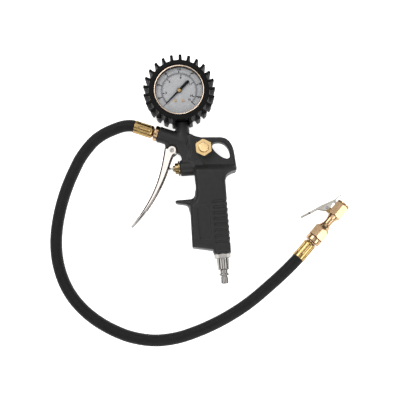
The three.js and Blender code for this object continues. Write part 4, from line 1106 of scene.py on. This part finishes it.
def press_clip():
    f = Field((33.3, 4.4, -3.4), (79.5, 26.3, 3.4), 0.17)
    half = 3.4 - 1.2 * (1 - ramp(f.x, 41.5, 44))
    sheet = rounded(f.flat(CLIP_SIDE), np.abs(f.z) - half, 0.12)
    rim = rounded(f.flat(CLIP_RIM), np.abs(np.abs(f.z) - half + 0.35) - 0.35, 0.12)
    sheet = join(sheet, rim, 0.2)
    cheek = rounded(f.flat(CLIP_CHEEK), np.abs(np.abs(f.z) - 3.05) - 0.35, 0.15)
    tooth = rounded(f.flat(CLIP_TOOTH), np.abs(f.z) - 2.2, 0.15)
    clip = join(join(sheet, cheek, 0.3), tooth, 0.3)
    clip = cut(clip, np.hypot(f.x - CLIP_PIVOT[0], f.y - CLIP_PIVOT[1]) - 1.3 + 0 * f.z)
    return show(
        "lock_clip", *f.surface(clip), SPRING_STEEL, ["chuck_clip"], "clip_steel", "clip", CHUCK_FLAT, 50,
    )


lock_clip = press_clip()
CLIP_SPOT = CHUCK_FLAT @ spot(*CLIP_PIVOT)
RIVET_PIN = [(-4.2, 0), (-4.2, 1.5), (-3.7, 1.5), (-3.7, 0.8), (3.7, 0.8), (3.7, 1.5), (4.2, 1.3), (4.2, 0)]
clip_rivet = show("clip_rivet", *turned(RIVET_PIN, 40, 0.15), STEEL, ["clip_pin"], "steel", matrix=CLIP_SPOT)

# ---- Nodes that keep their CAD shape ----

KEPT = {
    "brass": (BRASS_PLAIN, [
        "valve_seat", "valve_poppet", "dial_post_left", "dial_post_right", "pinion_arbor", "sector_gear",
        "gauge_link", "movement_plate_lower", "movement_plate_upper", "movement_post_1", "movement_post_2",
        "movement_post_3", "bourdon_tube", "tube_tip",
    ]),
    "case": (DARK_METAL, ["gauge_socket"]),
    "steel": (STEEL, [
        "movement_screw_1", "movement_screw_2", "hairspring", "clip_spring",
    ]),
    "seal": (SEAL, ["stem_seal", "poppet_seal", "bleed_seal", "lens_gasket"]),
}
for material, names in KEPT.values():
    for name in names:
        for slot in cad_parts[name].material_slots:
            slot.material = material

# ---- Light and floor ----


def make_floor():
    f = Finish("pale_floor")
    colour = f.blend(f.spread(f.noise(6), 0, 1), shade(252, 252, 252), shade(255, 255, 255))
    f.set(Base_Color=colour, Roughness=0.6, Specular_IOR_Level=0.1)
    material = f.set(Emission_Color=shade(255, 255, 255), Emission_Strength=0.8)
    mesh = bpy.data.meshes.new("floor")
    half, level = 6, -0.0004
    corners = [(-half, -half, level), (half, -half, level), (half, half, level), (-half, half, level)]
    mesh.from_pydata(corners, [], [(0, 1, 2, 3)])
    mesh.materials.append(material)
    floor = bpy.data.objects.new("floor", mesh)
    bpy.context.scene.collection.objects.link(floor)


def make_light(name, place, size, power):
    data = bpy.data.lights.new(name, "AREA")
    data.shape = "RECTANGLE"
    data.size, data.size_y = size
    data.energy = power
    light = bpy.data.objects.new(name, data)
    light.location = place
    light.rotation_mode = "QUATERNION"
    light.rotation_quaternion = (CAMERA_AIM - Vector(place)).to_track_quat("-Z", "Y")
    bpy.context.scene.collection.objects.link(light)


SKY_LOWEST = 0.25
SKY_HIGHEST = 1.36
SKY = (
    (0.12, 0.14), (0.32, 0.1), (0.44, 0.55), (0.55, 0.7), (0.65, 2.0), (0.8, 2.0), (0.85, 0.1),
    (0.945, 0.1), (0.97, 1.32),
)


def make_world():
    """Grey by height: dark and bright rings for the metals to mirror, under a white top."""
    scene = bpy.context.scene
    world = bpy.data.worlds.new("studio")
    world.use_nodes = True
    sky = world.node_tree.nodes["Background"]
    sky.inputs["Strength"].default_value = 0.86
    nodes, links = world.node_tree.nodes, world.node_tree.links
    parts = nodes.new("ShaderNodeSeparateXYZ")
    links.new(nodes.new("ShaderNodeTexCoord").outputs["Generated"], parts.inputs[0])
    height = nodes.new("ShaderNodeValToRGB")
    links.new(parts.outputs["Z"], height.inputs["Fac"])
    stops = height.color_ramp.elements
    stops[0].position, stops[0].color = 0.0, (SKY_LOWEST, SKY_LOWEST, SKY_LOWEST, 1)
    stops[1].position, stops[1].color = 1.0, (SKY_HIGHEST, SKY_HIGHEST, SKY_HIGHEST, 1)
    for position, level in SKY:
        stops.new(position).color = (level, level, level, 1)
    links.new(height.outputs["Color"], sky.inputs["Color"])
    scene.world = world
    scene.view_settings.view_transform = "Standard"
    scene.view_settings.look = "None"
    scene.view_settings.exposure = 0.0


make_floor()
make_world()
make_light("key", (-0.5, 0.7, 1.3), (0.9, 0.9), 9)
make_light("fill", (0.1, -1.2, 0.9), (0.8, 0.5), 4)
make_light("front", (0.9, -0.75, 0.72), (0.5, 0.45), 3.4)
